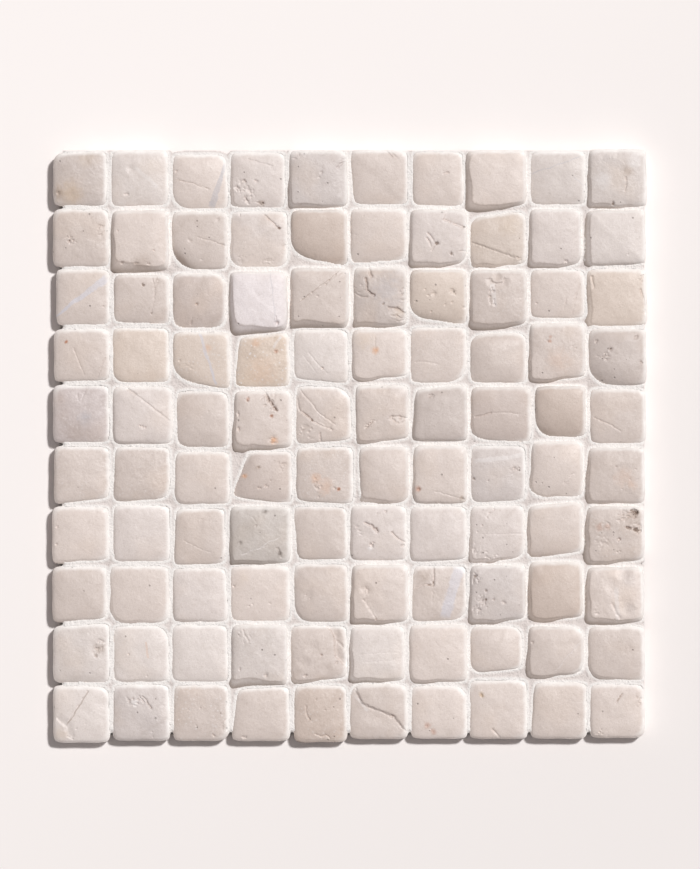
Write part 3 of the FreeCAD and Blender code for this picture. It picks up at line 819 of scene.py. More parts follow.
# Stones whose surface is mottled, speckled with pale grains, or pierced by pores, from 0 to 1
MOTTLED = {
    (1, 1): 0.9, (1, 2): 0.8, (1, 5): 0.7, (1, 10): 0.8, (2, 1): 0.7, (2, 3): 0.7, (2, 4): 0.6, (3, 2): 0.8,
    (3, 3): 0.9, (3, 6): 0.9, (3, 8): 0.7, (4, 4): 1.0, (4, 9): 0.7, (5, 1): 1.0, (5, 5): 0.6, (5, 6): 0.6,
    (6, 1): 0.7, (6, 2): 0.8, (6, 5): 0.6, (6, 8): 0.6,
    (6, 10): 0.7, (7, 4): 0.8, (7, 8): 0.6, (7, 10): 0.8,
    (8, 7): 0.9, (8, 10): 0.8, (9, 1): 0.7, (9, 4): 0.6,
    (9, 5): 0.8, (10, 2): 0.9, (10, 3): 0.7, (10, 5): 0.7,
}
SPECKLED = {
    (4, 3): 0.5, (4, 4): 1.0, (4, 7): 0.3, (6, 1): 0.5, (6, 2): 0.4, (6, 5): 0.5, (7, 10): 0.4, (9, 4): 0.4,
    (10, 3): 0.8, (10, 5): 0.4, (3, 8): 0.4, (5, 1): 0.4,
}
PORED = {
    (1, 4): 0.5, (1, 5): 0.5, (2, 1): 0.5, (2, 3): 0.4, (3, 5): 0.8, (3, 7): 0.7, (4, 9): 0.7, (4, 10): 0.7,
    (5, 4): 0.6, (6, 4): 0.6, (6, 9): 0.8, (7, 8): 0.7,
    (7, 10): 0.9, (8, 8): 1.0, (9, 4): 0.5, (10, 3): 0.5,
    (10, 5): 0.5, (1, 9): 0.3, (10, 7): 0.3, (5, 6): 0.3,
}

# How wide a stone's falling edges are at its south-west corner, where they are wider than most:
# the west one and the south one
EDGE_BANDS = {
    (1, 4): (2.2, 1.4), (1, 5): (2.0, 2.6), (1, 7): (1.4, 1.3), (1, 8): (3.6, 3.4), (1, 10): (2.4, 2.6),
    (2, 2): (2.6, 4.4), (2, 4): (1.8, 1.1), (2, 7): (1.9, 3.2), (2, 8): (1.3, 2.4), (2, 9): (2.0, 2.8),
    (2, 10): (3.8, 1.2), (3, 2): (1.1, 1.3), (3, 4): (2.8, 4.0), (3, 5): (1.8, 4.0), (3, 6): (1.4, 2.8),
    (3, 8): (1.7, 3.4), (3, 9): (1.3, 1.1), (3, 10): (3.4, 1.1), (4, 6): (1.6, 2.2), (4, 9): (2.0, 2.4),
    (5, 2): (1.4, 1.6), (5, 3): (1.1, 1.6), (5, 4): (2.0, 3.2), (5, 6): (1.2, 2.0), (5, 7): (1.5, 1.2),
    (5, 8): (1.7, 1.2), (6, 2): (1.5, 1.5), (6, 3): (1.5, 1.8), (6, 6): (1.2, 2.8), (6, 7): (1.7, 1.2),
    (6, 9): (1.9, 1.8), (6, 10): (2.6, 1.7), (7, 1): (1.3, 1.8), (7, 2): (1.4, 1.5), (7, 4): (1.6, 2.6),
    (7, 5): (1.4, 1.1), (7, 6): (1.6, 1.2), (7, 7): (1.5, 1.3), (7, 8): (1.9, 2.4), (7, 9): (2.4, 1.6),
    (7, 10): (3.0, 2.3), (8, 1): (1.3, 1.5), (8, 2): (1.7, 1.9), (8, 3): (1.3, 1.5), (8, 5): (1.4, 1.5),
    (8, 6): (2.2, 3.0), (8, 8): (1.9, 2.8), (8, 9): (2.4, 2.5), (8, 10): (3.0, 3.4), (9, 2): (1.4, 1.8),
    (9, 3): (1.5, 1.3), (9, 4): (1.3, 4.2), (9, 5): (1.5, 2.0), (9, 6): (2.6, 2.8), (9, 7): (1.5, 2.0),
    (9, 9): (2.2, 2.2), (9, 10): (1.5, 1.8), (10, 5): (1.2, 1.8),
}

# How much further out a stone's side lies than the frame's, or below zero further in, by the angle
# from east that it faces
SIDE_SHIFTS = {
    (1, 7): {0: -0.9}, (2, 9): {0: -1.6}, (4, 6): {-90: -1.8}, (4, 9): {-90: -1.4}, (5, 6): {0: -1.2},
    (5, 7): {180: 0.8}, (6, 8): {0: -0.8}, (6, 9): {0: -0.8},
    (7, 8): {0: -0.8}, (7, 9): {0: -0.9, 180: 0.8},
    (8, 9): {0: -1.0}, (9, 8): {-90: -1.4},
}

# What a stone has that the tables don't name
COMMON_MOTTLING = 0.25
COMMON_SPECKLES = 0.08
COMMON_PORES = 0.05
COMMON_BAND = 1.1  # width of the falling edge

# The falling edges
TURN = (0.6, 0.8)  # a side's edge begins where a bearing is turned to it so far, by the cosine, and is full
TAPER = (-0.7, 0.7)  # its width grows from the first of these to the second, by the sine
WEST_LEFT = 0.55  # share of its width that a west edge has left at its north end
SOUTH_LEFT = 0.5  # the same of a south edge at its east end
LEAN_OUT = 0.8  # share of a wide edge's width by which it leans out over the grout
LEANING = (1.3, 2.3)  # widths of an edge that begins to lean out, and of one that leans out in full
TOUCH = 0.1  # how near its neighbour a leaning stone may come
EVEN_FALL = 0.66  # share of an edge's fall that is even, and the rest grows towards the wall
ARRIS = 0.8  # how softly a common stone's face turns over into its edge
CRISP_ARRIS = 0.1  # the same where the edge is wide
CRISP = (1.2, 2.0)  # widths of an edge whose arris begins to be crisp, and is fully so
SHADED = (0.9, 2.2)  # widths of an edge that begins to get painted shade, and gets it in full
SHADE_END = (0.9, 1.02)  # shares of its width, in from the wall, at which the shade thins out, and ends
PALING = (0.05, 0.75)  # the same at which it begins to pale, and is paled in full
PALED = 0.9  # share of the shade that is lost by that
ARRIS_SHADE = 0.5  # strength of the darker line of painted shade along the arris
ARRIS_LINE = 0.45  # half the width of that line
HIGHLIGHT_FADE = (0.7, 2.8)  # how far in from the wall the painted highlight of the lit sides begins to fade, and is gone
LEE = 0.35  # how gradually painted highlight gives way to painted shade round a stone
HIGHLIGHT_LOST = 0.9  # share of the painted highlight that is lost on the shaded sides
FOOT = 8.0  # height at which the edge meets the wall, below the top of the grout
JOINT = 1.3  # width of the grout that a north or east side leaves as it runs out
MOST_RUN_OUT = 2.8  # the most that such a side runs out
MOVING = (0.1, 0.7)  # shares of the way to a moved side at which points begin to move, and move in full
FACING = 0.8  # a side is where the outline faces its way, by the cosine

# The faces
LOWEST_FACE = 8.5  # a face that would be worn down further than this falls less, in proportion
FLOOR_SOFTNESS = 0.3  # how softly a mark is held up there
FACE_SPAN = (3, 97)  # the percentiles that count as a face's lowest and highest points
LEAST_CROWN = 0.7  # how much lower the face is at the wall than in the middle
MORE_CROWN = 0.6  # the most that chance adds to that
SHAKE = 0.35  # how far the outlines of the marks wander
WALL_WEAR = 0.08  # how far in the worn wall goes, more or less
NICK = 0.2  # the deepest nick in the rim
WALL_ROUGHNESS = 0.1


def length_setting(name, description, default):
    """A length that can be set, whose default is in millimetres."""
    return bpy.props.FloatProperty(name=name, description=description, default=default * MM, unit="LENGTH")


def share_setting(name, description, default):
    """A share that can be set."""
    return bpy.props.FloatProperty(name=name, description=description, default=default, subtype="FACTOR")


def colour_setting(name, description, default):
    """A colour that can be set."""
    return bpy.props.FloatVectorProperty(
        name=name, description=description, default=default, size=4, subtype="COLOR"
    )


class StoneSettings(bpy.types.PropertyGroup):
    """Sizes of the stones' edges and faces"""

    common_band: length_setting("Common band", "Width of the falling edge of most stones", COMMON_BAND)
    foot: length_setting("Foot", "Height at which a stone's tumbled edge meets its wall", FOOT)
    undulation: length_setting("Undulation", "How far the faces of the stones wave up and down", 0.2)
    relief: length_setting("Relief", "Height of the small unevenness of the faces", 0.05)
    detail: share_setting("Detail", "Share of a stone's faces that are kept once it is carved", 0.29)


class GroutSettings(bpy.types.PropertyGroup):
    """Sizes and colour of the grout"""

    rise: length_setting("Rise", "How far the grout climbs a stone's edge above its middle", 0.35)
    unevenness: length_setting("Unevenness", "How far the grout's top waves up and down", 0.32)
    grain_size: length_setting("Grain size", "Size of the sand in the grout", 0.25)
    grain_count: bpy.props.IntProperty(
        name="Grain count", description="How many grains of sand stand out of the grout", default=900
    )
    detail: share_setting("Detail", "Share of the grout's faces that are kept once it is shaped", 0.3)
    colour: colour_setting("Colour", "Colour of the grout", colour(229, 219, 214))


class MeshSettings(bpy.types.PropertyGroup):
    """Sizes and colour of the backing mesh"""

    yarns: bpy.props.IntProperty(
        name="Yarns", description="How many yarns each set of the mesh has", default=59
    )
    yarn_width: length_setting("Yarn width", "Width of a flat yarn of the backing mesh", 0.8)
    yarn_thickness: length_setting("Yarn thickness", "Thickness of a flat yarn of the backing mesh", 0.22)
    colour: colour_setting("Colour", "Colour of the mesh's yarns", colour(232, 230, 224))


class StageSettings(bpy.types.PropertyGroup):
    """The floor's colour and the sun's place"""

    floor: colour_setting("Floor", "Colour of the floor", colour(249, 243, 240))
    sun_height: bpy.props.FloatProperty(
        name="Sun height",
        description="Angle of the sun above the floor",
        default=math.radians(60),
        subtype="ANGLE",
    )
    sun_bearing: bpy.props.FloatProperty(
        name="Sun bearing",
        description="Angle of the sun from +Y towards +X",
        default=math.radians(46),
        subtype="ANGLE",
    )


# Nodes written as expressions

MIX_SHARE, MIX_FIRST, MIX_SECOND, MIX_RESULT = 0, 6, 7, 2  # the Mix node's sockets for colours


class Wire:
    """A socket that Python's operators work on: each adds a Math node."""

    def __init__(self, tree, socket):
        self.tree = tree
        self.socket = socket

    def __add__(self, other):
        return self.tree.math("ADD", self, other)

    __radd__ = __add__

    def __sub__(self, other):
        return self.tree.math("SUBTRACT", self, other)

    def __rsub__(self, other):
        return self.tree.math("SUBTRACT", other, self)

    def __mul__(self, other):
        return self.tree.math("MULTIPLY", self, other)

    __rmul__ = __mul__

    def __pow__(self, other):
        return self.tree.math("POWER", self, other)

    def __rpow__(self, other):
        return self.tree.math("POWER", other, self)

    def __mod__(self, other):
        return self.tree.math("MODULO", self, other)

    def __rmod__(self, other):
        return self.tree.math("MODULO", other, self)

    def __gt__(self, other):
        return self.tree.math("GREATER_THAN", self, other)

    def __lt__(self, other):
        return self.tree.math("LESS_THAN", self, other)

    def __abs__(self):
        return self.tree.math("ABSOLUTE", self, 0.0)


class Tree:
    """A node tree that is filled by calls."""

    def __init__(self, nodes):
        self.nodes = nodes

    def node(self, kind, settings=None, sockets=None, out=0):
        """Adds a node, sets its settings and then its sockets, and gives the outputs asked for."""
        made = self.nodes.nodes.new(kind)
        for name, value in (settings or {}).items():
            setattr(made, name, value)
        for name, value in (sockets or {}).items():
            if isinstance(value, (Wire, list)):
                for wire in value if isinstance(value, list) else [value]:
                    self.nodes.links.new(wire.socket, made.inputs[name])
            else:
                made.inputs[name].default_value = value
        if isinstance(out, tuple):
            return [Wire(self, made.outputs[name]) for name in out]
        return Wire(self, made.outputs[out]) if made.outputs else made

    def math(self, operation, first, second):
        return self.node("ShaderNodeMath", {"operation": operation}, {0: first, 1: second})

    def vector(self, operation, first, second):
        return self.node("ShaderNodeVectorMath", {"operation": operation}, {0: first, 1: second})

    def parts(self, vector):
        return self.node("ShaderNodeSeparateXYZ", {}, {0: vector}, ("X", "Y", "Z"))

    def between(self, value, low, high, low_out=0.0, high_out=1.0):
        """Maps low..high to low_out..high_out with a smooth rise, and holds both ends."""
        return self.node(
            "ShaderNodeMapRange",
            {"interpolation_type": "SMOOTHSTEP"},
            {"Value": value, "From Min": low, "From Max": high, "To Min": low_out, "To Max": high_out},
        )

    def mix(self, share, first, second, blend="MIX"):
        return self.node(
            "ShaderNodeMix",
            {"data_type": "RGBA", "blend_type": blend},
            {MIX_SHARE: share, MIX_FIRST: first, MIX_SECOND: second},
            MIX_RESULT,
        )

    def times(self, tint, red, green, blue):
        return self.mix(1.0, tint, (red, green, blue, 1.0), "MULTIPLY")

    def noise(self, place, scale, detail=3.0, roughness=0.55, distortion=0.0):
        return self.node(
            "ShaderNodeTexNoise",
            {},
            {
                "Vector": place,
                "Scale": scale,
                "Detail": detail,
                "Roughness": roughness,
                "Distortion": distortion,
            },
        )

    def cells(self, place, scale, out="Distance"):
        return self.node("ShaderNodeTexVoronoi", {"feature": "F1"}, {"Vector": place, "Scale": scale}, out)

    def attribute(self, name, out="Fac"):
        return self.node("ShaderNodeAttribute", {"attribute_name": name}, {}, out)


def material(name):
    """An empty node material and its tree."""
    made = bpy.data.materials.new(name)
    made.use_nodes = True
    made.node_tree.nodes.clear()
    return made, Tree(made.node_tree)


def surface(tree, sockets, height=None, distance=0.0003):
    """Joins a Principled shader, and a Bump where there is a height, to the output."""
    if height is not None:
        sockets["Normal"] = tree.node("ShaderNodeBump", {}, {"Distance": distance, "Height": height})
    shader = tree.node("ShaderNodeBsdfPrincipled", {}, sockets)
    tree.node("ShaderNodeOutputMaterial", {}, {"Surface": shader})


VEINS = ("vein_1", "vein_2")
STAINS = ("stain_1", "stain_2", "stain_3")

# How strongly the tints cover what lies under them
# Of the dirt and painted shade of the marks, the painted shade of the edges and the painted highlight of
# the edges
DIRT_AND_SHADE_STRENGTH = 0.75
BAND_SHADE_STRENGTH = 0.9
HIGHLIGHT_STRENGTH = 0.95
PAINTED_LIGHT_STRENGTH = 0.75  # of the painted light on the grout beside a stone, which makes it paler there

SEED_STEP = 0.37  # how far one stone's texture lies from the next one's


def stone_clouds(tree, place, tone, mottled):
    """The stone's own tone, clouded in patches and finely grained, and the clouds and heights of it."""
    clouds = tree.noise(place, 110.0, 5.0, 0.62, 0.7)
    broad = tree.noise(place, 38.0, 2.0)
    grain = tree.noise(place, 800.0, 3.0, 0.7)
    fine = tree.noise(place, 2200.0, 2.0, 0.65)
    darker = tree.times(tone, 0.85, 0.83, 0.81)
    lighter = tree.times(tone, 1.08, 1.09, 1.1)
    warmer = tree.times(tone, 1.03, 0.985, 0.93)
    shade = tree.mix(tree.between(clouds, 0.45, 0.72) * (0.2 + 0.65 * mottled), tone, darker)
    shade = tree.mix(tree.between(clouds, 0.48, 0.28) * (0.2 + 0.55 * mottled), shade, lighter)
    shade = tree.mix(tree.between(broad, 0.5, 0.7) * (0.25 + 0.5 * mottled), shade, warmer)
    shade = tree.mix(tree.between(grain, 0.52, 0.75) * 0.75, shade, darker)
    shade = tree.mix(tree.between(grain, 0.48, 0.27) * 0.5, shade, lighter)
    shade = tree.mix(tree.between(fine, 0.5, 0.3) * 0.5, shade, darker)
    return shade, clouds, clouds * 0.25 + grain * 0.45 + fine * 0.3


def stone_specks(tree, place, shade, clouds, speckled, pored):
    """Adds pale grains and small dark pores, and gives the pores as well."""
    speck = tree.between(tree.cells(place, 520.0), 0.36, 0.16) * tree.between(clouds, 0.4, 0.6) * speckled
    shade = tree.mix(speck * 0.7, shade, MILK)
    near, random_tint = tree.cells(place, 330.0, ("Distance", "Color"))
    chance = tree.node("ShaderNodeSeparateColor", {}, {0: random_tint})
    pore = tree.between(near, 0.2, 0.08) * (chance > 1.0 - 0.3 * pored)
    return tree.mix(pore * 0.45, shade, DARK), pore


def stone_tints(tree, place, shade, clouds):
    """Adds each stone's own veins and stains."""
    warp = tree.noise(place, 700.0, 3.0, 0.6) - 0.5
    patchy = tree.between(clouds, 0.3, 0.65, 1.0, 0.72)
    for name in VEINS:
        across, along, strength = tree.parts(tree.attribute(name, "Vector"))
        inside = tree.between(abs(across + warp * 0.8), 1.2, 0.7) * tree.between(abs(along), 1.15, 0.9)
        shade = tree.mix(inside * strength * patchy, shade, tree.attribute(name + "_tint", "Color"))
    for name in STAINS:
        east, north, strength = tree.parts(tree.attribute(name, "Vector"))
        away = (east * east + north * north) ** 0.5 + warp * 0.8
        inside = tree.between(away, 1.15, 0.1)
        shade = tree.mix(inside * strength, shade, tree.attribute(name + "_tint", "Color"))
    return shade


def stone_material():
    """Limestone and marble worn by tumbling: clouded, grained and pored, with veins and stains."""
    made, tree = material("tumbled_stone")
    seed = tree.attribute("seed")
    offset = tree.node("ShaderNodeCombineXYZ", {}, {"X": seed, "Y": seed * 0.7, "Z": seed * 0.4})
    place = tree.vector("ADD", tree.node("ShaderNodeTexCoord", {}, {}, "Object"), offset)
    mottled, speckled, pored = tree.parts(tree.attribute("character", "Vector"))
    shade, clouds, height = stone_clouds(tree, place, tree.attribute("tone", "Color"), mottled)
    shade, pore = stone_specks(tree, place, shade, clouds, speckled, pored)
    shade = stone_tints(tree, place, shade, clouds)
    # Dirt in the marks, and painted shade that grows with their depth and darkens the worn-down slopes
    shade = tree.mix(tree.between(tree.attribute("worn"), 0.15, 1.1) * DIRT_AND_SHADE_STRENGTH, shade, DIRT_AND_SHADE)
    # Painted shade on the falling edges of the south and west sides
    shade = tree.mix(tree.attribute("shaded") * BAND_SHADE_STRENGTH, shade, BAND_SHADE)
    # Painted highlight on the lit north and east edges
    rim = tree.attribute("rim") * tree.between(clouds, 0.3, 0.7, 1.0, 0.7)
    shade = tree.mix(rim * HIGHLIGHT_STRENGTH, shade, PAINTED_HIGHLIGHT)
    surface(
        tree,
        {
            "Base Color": shade,
            "Roughness": tree.between(clouds, 0.3, 0.7, 0.38, 0.5),
            "Specular IOR Level": 0.5,
        },
        height - pore,
    )
    return made


def grout_material(tint):
    """Pale cement, trowelled nearly smooth, with a little sand showing."""
    made, tree = material("sandy_grout")
    tint = tuple(tint)
    place = tree.node("ShaderNodeTexCoord", {}, {}, "Object")
    clouds = tree.noise(place, 120.0, 4.0, 0.6)
    sand = tree.noise(place, 850.0, 4.0, 0.7)
    grains = tree.cells(place, 900.0)
    darker = tree.times(tint, 0.82, 0.8, 0.79)
    lighter = tree.times(tint, 1.05, 1.06, 1.07)
    shade = tree.mix(tree.between(clouds, 0.5, 0.72) * 0.7, tint, darker)
    shade = tree.mix(tree.between(clouds, 0.48, 0.3) * 0.6, shade, lighter)
    shade = tree.mix(tree.between(sand, 0.52, 0.72) * 0.7, shade, darker)
    shade = tree.mix(tree.between(sand, 0.48, 0.3) * 0.5, shade, lighter)
    # Painted light: the grout is paler beside the stones
    shade = tree.mix(tree.attribute("near_stone") * PAINTED_LIGHT_STRENGTH, shade, PAINTED_HIGHLIGHT)
    surface(
        tree,
        {"Base Color": shade, "Roughness": 0.85, "Specular IOR Level": 0.2},
        sand - grains * 0.3 + clouds * 0.5,
        distance=0.0006,
    )
    return made


def yarn_material(tint):
    """Resin-coated glass yarn: fine filaments, with a dull shine."""
    made, tree = material("glass_yarn")
    tint = tuple(tint)
    place = tree.node("ShaderNodeTexCoord", {}, {}, "Object")
    filaments = tree.noise(place, 2400.0, 2.0, 0.6)
    resin = tree.noise(place, 300.0, 2.0, 0.5)
    shade = tree.mix(tree.between(filaments, 0.45, 0.7) * 0.6, tint, tree.times(tint, 0.8, 0.8, 0.78))
    surface(
        tree,
        {"Base Color": shade, "Roughness": tree.between(resin, 0.3, 0.7, 0.35, 0.6)},
        filaments,
        distance=0.00008,
    )
    return made


def floor_material(tint):
    """A plain pale floor, with painted shade that makes it a little dimmer towards the south and east."""
    made, tree = material("pale_floor")
    east, north, _ = tree.parts(tree.node("ShaderNodeTexCoord", {}, {}, "Object"))
    dimmed = tree.between(east * 1.6 - north * 2.0, -0.7, 0.7)
    light = tuple(min(1.0, part * 1.03) for part in tint[:3]) + (1.0,)
    dim = tuple(part * 0.93 for part in tint[:3]) + (1.0,)
    shade = tree.mix(dimmed, light, dim)
    surface(tree, {"Base Color": shade, "Roughness": 0.95, "Specular IOR Level": 0.05})
    return made


# The stones

HALF_GRID = 50  # rings of points from the middle of a stone to its wall
OUTER_RINGS = (0.0, 0.06, 0.15, 0.28, 0.44, 0.62, 0.82, 1.04, 1.28, 1.54, 1.82, 2.1)  # in from the wall
HALF_STONE = 14.2  # from the middle of a common stone to its wall
SPOKES = 8 * HALF_GRID  # directions in which a stone's outline is read
FIRST_SPOKES = 64  # directions in which it is read to find its middle
LOOK_HEIGHT = 3.0  # the wall is read at this height
LOOK_DOWN = 50.0  # the face is read from this height
LOOK_RINGS = (0.25, 0.5, 0.75)  # and at these shares of the way to the wall
LOOK_WAYS = 8

# The wall's rings: height, and how far in from the wall
WALL_RINGS = ((6.2, 0.0), (4.2, 0.0), (2.2, 0.02), (1.1, 0.05), (0.7, 0.25), (0.5, 0.65))


def ring_shares():
    """How far each ring of points is from the middle, as a share of the way to the wall."""
    outer = [1 - inset / HALF_STONE for inset in OUTER_RINGS]
    inner = HALF_GRID - len(outer) + 1
    even = [outer[-1] * step / inner for step in range(inner)]
    return np.array(even + outer[::-1])


def grid_points():
    """The square grid's points: their ring, and their bearing from the middle."""
    steps = np.arange(-HALF_GRID, HALF_GRID + 1)
    east, north = np.meshgrid(steps, steps)
    return np.maximum(np.abs(east), np.abs(north)).ravel(), np.arctan2(north, east).ravel()


def rim_order():
    """The grid's border points in order round the stone, anticlockwise from the south-west corner."""
    side = 2 * HALF_GRID + 1
    south = [(column, 0) for column in range(side - 1)]
    east = [(side - 1, row) for row in range(side - 1)]
    north = [(column, side - 1) for column in range(side - 1, 0, -1)]
    west = [(0, row) for row in range(side - 1, 0, -1)]
    return np.array([row * side + column for column, row in south + east + north + west])


RING, BEARING = grid_points()
SHARE = ring_shares()[RING]
RIM = rim_order()


class Seat:
    """Where the frame has a stone: its outline, and the height and slope of its face."""

    def __init__(self, tree, row, column):
        self.row, self.column = row, column
        self.number = row * COLUMNS + column
        self.cell = np.array(cell(row, column))
        self.middle = self.cell
        for _ in range(2):
            angles, reach = self.look_out(tree, FIRST_SPOKES)
            self.middle = self.middle + np.array(
                [np.mean(reach * np.cos(angles)), np.mean(reach * np.sin(angles))]
            )
        self.angles, self.reach = self.look_out(tree, SPOKES)
        self.move_sides(SIDE_SHIFTS.get((row, column), {}))
        self.face = self.look_down(tree)

    def look_out(self, tree, count):
        """How far the wall is from the middle, all the way round."""
        origin = Vector((self.middle[0] * MM, self.middle[1] * MM, LOOK_HEIGHT * MM))
        angles = np.linspace(-math.pi, math.pi, count, endpoint=False)
        ways = [Vector((math.cos(angle), math.sin(angle), 0)) for angle in angles]
        found = [tree.ray_cast(origin, way)[3] for way in ways]
        return angles, np.array(found) / MM

    def look_down(self, tree):
        """The face: its height in the middle, its rise to the east and the north, and its doming."""
        places = [(0, 0)]
        for away in LOOK_RINGS:
            for number in range(LOOK_WAYS):
                angle = 2 * math.pi / LOOK_WAYS * number
                reach = away * HALF_STONE
                places.append((reach * math.cos(angle), reach * math.sin(angle)))
        heights = []
        for east, north in places:
            above = Vector(((self.middle[0] + east) * MM, (self.middle[1] + north) * MM, LOOK_DOWN * MM))
            heights.append(tree.ray_cast(above, Vector((0, 0, -1)))[0].z / MM)
        rows = np.array([(1, east, north, -(east * east + north * north)) for east, north in places])
        return np.linalg.lstsq(rows, np.array(heights), rcond=None)[0]

    def move_sides(self, shifts):
        """Moves sides out, each by its angle from east in degrees, and the corners beside them along."""
        x, y = self.reach * np.cos(self.angles), self.reach * np.sin(self.angles)
        for angle, out in shifts.items():
            facing_x, facing_y = math.cos(math.radians(angle)), math.sin(math.radians(angle))
            moved = out * smooth((x * facing_x + y * facing_y) / HALF_STONE, *MOVING)
            x, y = x + moved * facing_x, y + moved * facing_y
        self.reach = np.interp(self.angles, np.arctan2(y, x), np.hypot(x, y), period=2 * math.pi)

    def reach_at(self, bearing):
        """How far the wall is from the middle at a bearing."""
        return np.interp(bearing, self.angles, self.reach, period=2 * math.pi)

    def point(self, bearing, reach):
        """Where one comes to from the middle."""
        return self.middle[0] + reach * np.cos(bearing), self.middle[1] + reach * np.sin(bearing)

    def around(self, x, y):
        """How far points are from the middle, and their bearings."""
        east, north = x - self.middle[0], y - self.middle[1]
        return np.hypot(east, north), np.arctan2(north, east)

    def outside(self, x, y):
        """How far points are outside the wall: below zero inside it."""
        away, bearing = self.around(x, y)
        return away - self.reach_at(bearing)


SEATS = {}  # every seat by its row and column, once it has been read


def seats():
    """Every seat by its row and column, read from the frame when they are first needed."""
    if not SEATS:
        graph = bpy.context.evaluated_depsgraph_get()
        for row, name in enumerate(STONE_NODES, 1):
            tree = bvhtree.BVHTree.FromObject(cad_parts[name], graph)
            for column in range(1, COLUMNS + 1):
                SEATS[row, column] = Seat(tree, row, column)
        shifts = {place: run_out(seat) for place, seat in SEATS.items()}
        for place, seat in SEATS.items():
            seat.move_sides(shifts[place])
    return SEATS


def seats_near(seat, step):
    """The seats to the north, the east and the north-east, or with a step of -1, the opposite ones."""
    row, column = seat.row - step, seat.column + step
    places = [(row, seat.column), (seat.row, column), (row, column)]
    return [SEATS[place] for place in places if place in SEATS]


def run_out(seat):
    """How far the east and north sides run out towards the stones beside them."""
    x, y = seat.point(seat.angles, seat.reach)
    room = np.full_like(x, MOST_RUN_OUT + JOINT)
    for beside in seats_near(seat, 1):
        away, bearing = beside.around(x, y)
        wall = beside.reach_at(bearing)
        room = np.minimum(room, away - wall - lean_out(beside, bearing, wall))
    room = np.clip(room - JOINT, 0, None)
    out_east = room[np.cos(seat.angles) > FACING].min() * (seat.column < COLUMNS)
    out_north = room[np.sin(seat.angles) > FACING].min() * (seat.row > 1)
    return {0: out_east, 90: out_north}


def carve(seat, x, y, dirt_and_shade=False):
    """How deep the stone's marks go at points, or how much dirt and painted shade they get."""
    east = x - seat.cell[0] + SHAKE * waves(x, y, 0.8, seat.number)
    north = y - seat.cell[1] + SHAKE * waves(x, y, 0.8, seat.number + 50)
    depth = np.zeros_like(x)
    for mark in MARKS.get((seat.row, seat.column), []):
        depth += mark.carve(east, north) * (mark.dirt_and_shade if dirt_and_shade else 1)
    return depth


def edge_band(seat, bearing):
    """How wide the falling edge is at a bearing: bands widen towards the south-west corner."""
    east, north = np.cos(bearing), np.sin(bearing)
    west_side, south_side = smooth(-east, *TURN), smooth(-north, *TURN)
    common = bpy.context.scene.stone_settings.common_band / MM
    west, south = EDGE_BANDS.get((seat.row, seat.column), (common, common))
    west = west * (WEST_LEFT + (1 - WEST_LEFT) * smooth(-north, *TAPER))
    south = south * (SOUTH_LEFT + (1 - SOUTH_LEFT) * smooth(-east, *TAPER))
    other = np.clip(1 - west_side - south_side, 0, 1)
    band = (west * west_side + south * south_side) / np.maximum(1, west_side + south_side)
    return band + other * common


def lean_out(seat, bearing, reach):
    """How far an edge leans out over the grout, short of the stones beside it."""
    x, y = seat.point(bearing, reach)
    room = np.full_like(x, PITCH)
    for beside in seats_near(seat, -1):
        room = np.minimum(room, beside.outside(x, y) - TOUCH)
    band = edge_band(seat, bearing)
    wanted = LEAN_OUT * band * smooth(band, *LEANING)
    return np.clip(np.minimum(wanted, room), 0, None)


def edge_unevenness(seat, bearing):
    """How the width of a stone's edge varies round it."""
    uneven = 1 + 0.15 * waves_round(bearing, 2.2, seat.number + 5)
    return uneven + 0.03 * waves_round(bearing, 9, seat.number + 7)


def edge_left(inset, roll, soft):
    """The share of its height above the foot that the face keeps at an inset from the wall."""
    past = roll - inset
    past = (past + np.sqrt(past * past + soft * soft)) / 2
    fallen = np.clip(past / roll, 0, 1)
    return 1 - (EVEN_FALL * fallen + (1 - EVEN_FALL) * fallen**3)


def face_height(seat, settings, x, y):
    """The face at the grid's points, before its edge falls: tilted, domed, waved, uneven and marked."""
    east, north = x - seat.middle[0], y - seat.middle[1]
    mottled = MOTTLED.get((seat.row, seat.column), COMMON_MOTTLING)
    crown = LEAST_CROWN + MORE_CROWN * whole_noise(np.int64(seat.number), np.int64(3), SEED)
    undulation, relief = settings.undulation / MM, settings.relief / MM
    height = seat.face[0] + seat.face[1] * east + seat.face[2] * north
    height = height - seat.face[3] * (east * east + north * north)
    height = height - crown * SHARE**3
    height = height + undulation * waves(x, y, 0.13, seat.number + 11)
    height = height + undulation * 0.3 * waves(x, y, 0.4, seat.number + 23)
    height = height + relief * (0.5 + mottled) * waves(x, y, 1.1, seat.number + 37)
    return height - carve(seat, x, y)


def held_up(height):
    """The face with what is worn too low raised in proportion, and its marks held above the grout."""
    above = height - LOWEST_FACE
    lowest, highest = np.percentile(above, FACE_SPAN)
    if lowest < 0:
        above = highest - (highest - above) * highest / (highest - lowest)
    return LOWEST_FACE + (above + np.sqrt(above * above + FLOOR_SOFTNESS**2)) / 2


def stone_face(seat, settings):
    """The points of a stone's face and edge, on the grid."""
    worn = WALL_WEAR * (1 + waves_round(BEARING, 2.5, seat.number, 3))
    nicked = NICK * smooth(waves_round(BEARING, 4, seat.number + 3, 3), 0.3, 0.8)
    wall = seat.reach_at(BEARING)
    band = edge_band(seat, BEARING)
    reach = wall + lean_out(seat, BEARING, wall) - worn - nicked
    x, y = seat.point(BEARING, SHARE * reach)
    soft = ARRIS + (CRISP_ARRIS - ARRIS) * smooth(band, *CRISP)
    left = edge_left((1 - SHARE) * HALF_STONE, band * edge_unevenness(seat, BEARING), soft)
    height = held_up(face_height(seat, settings, x, y))
    foot = settings.foot / MM
    return np.stack([x, y, foot + (height - foot) * left], axis=1)


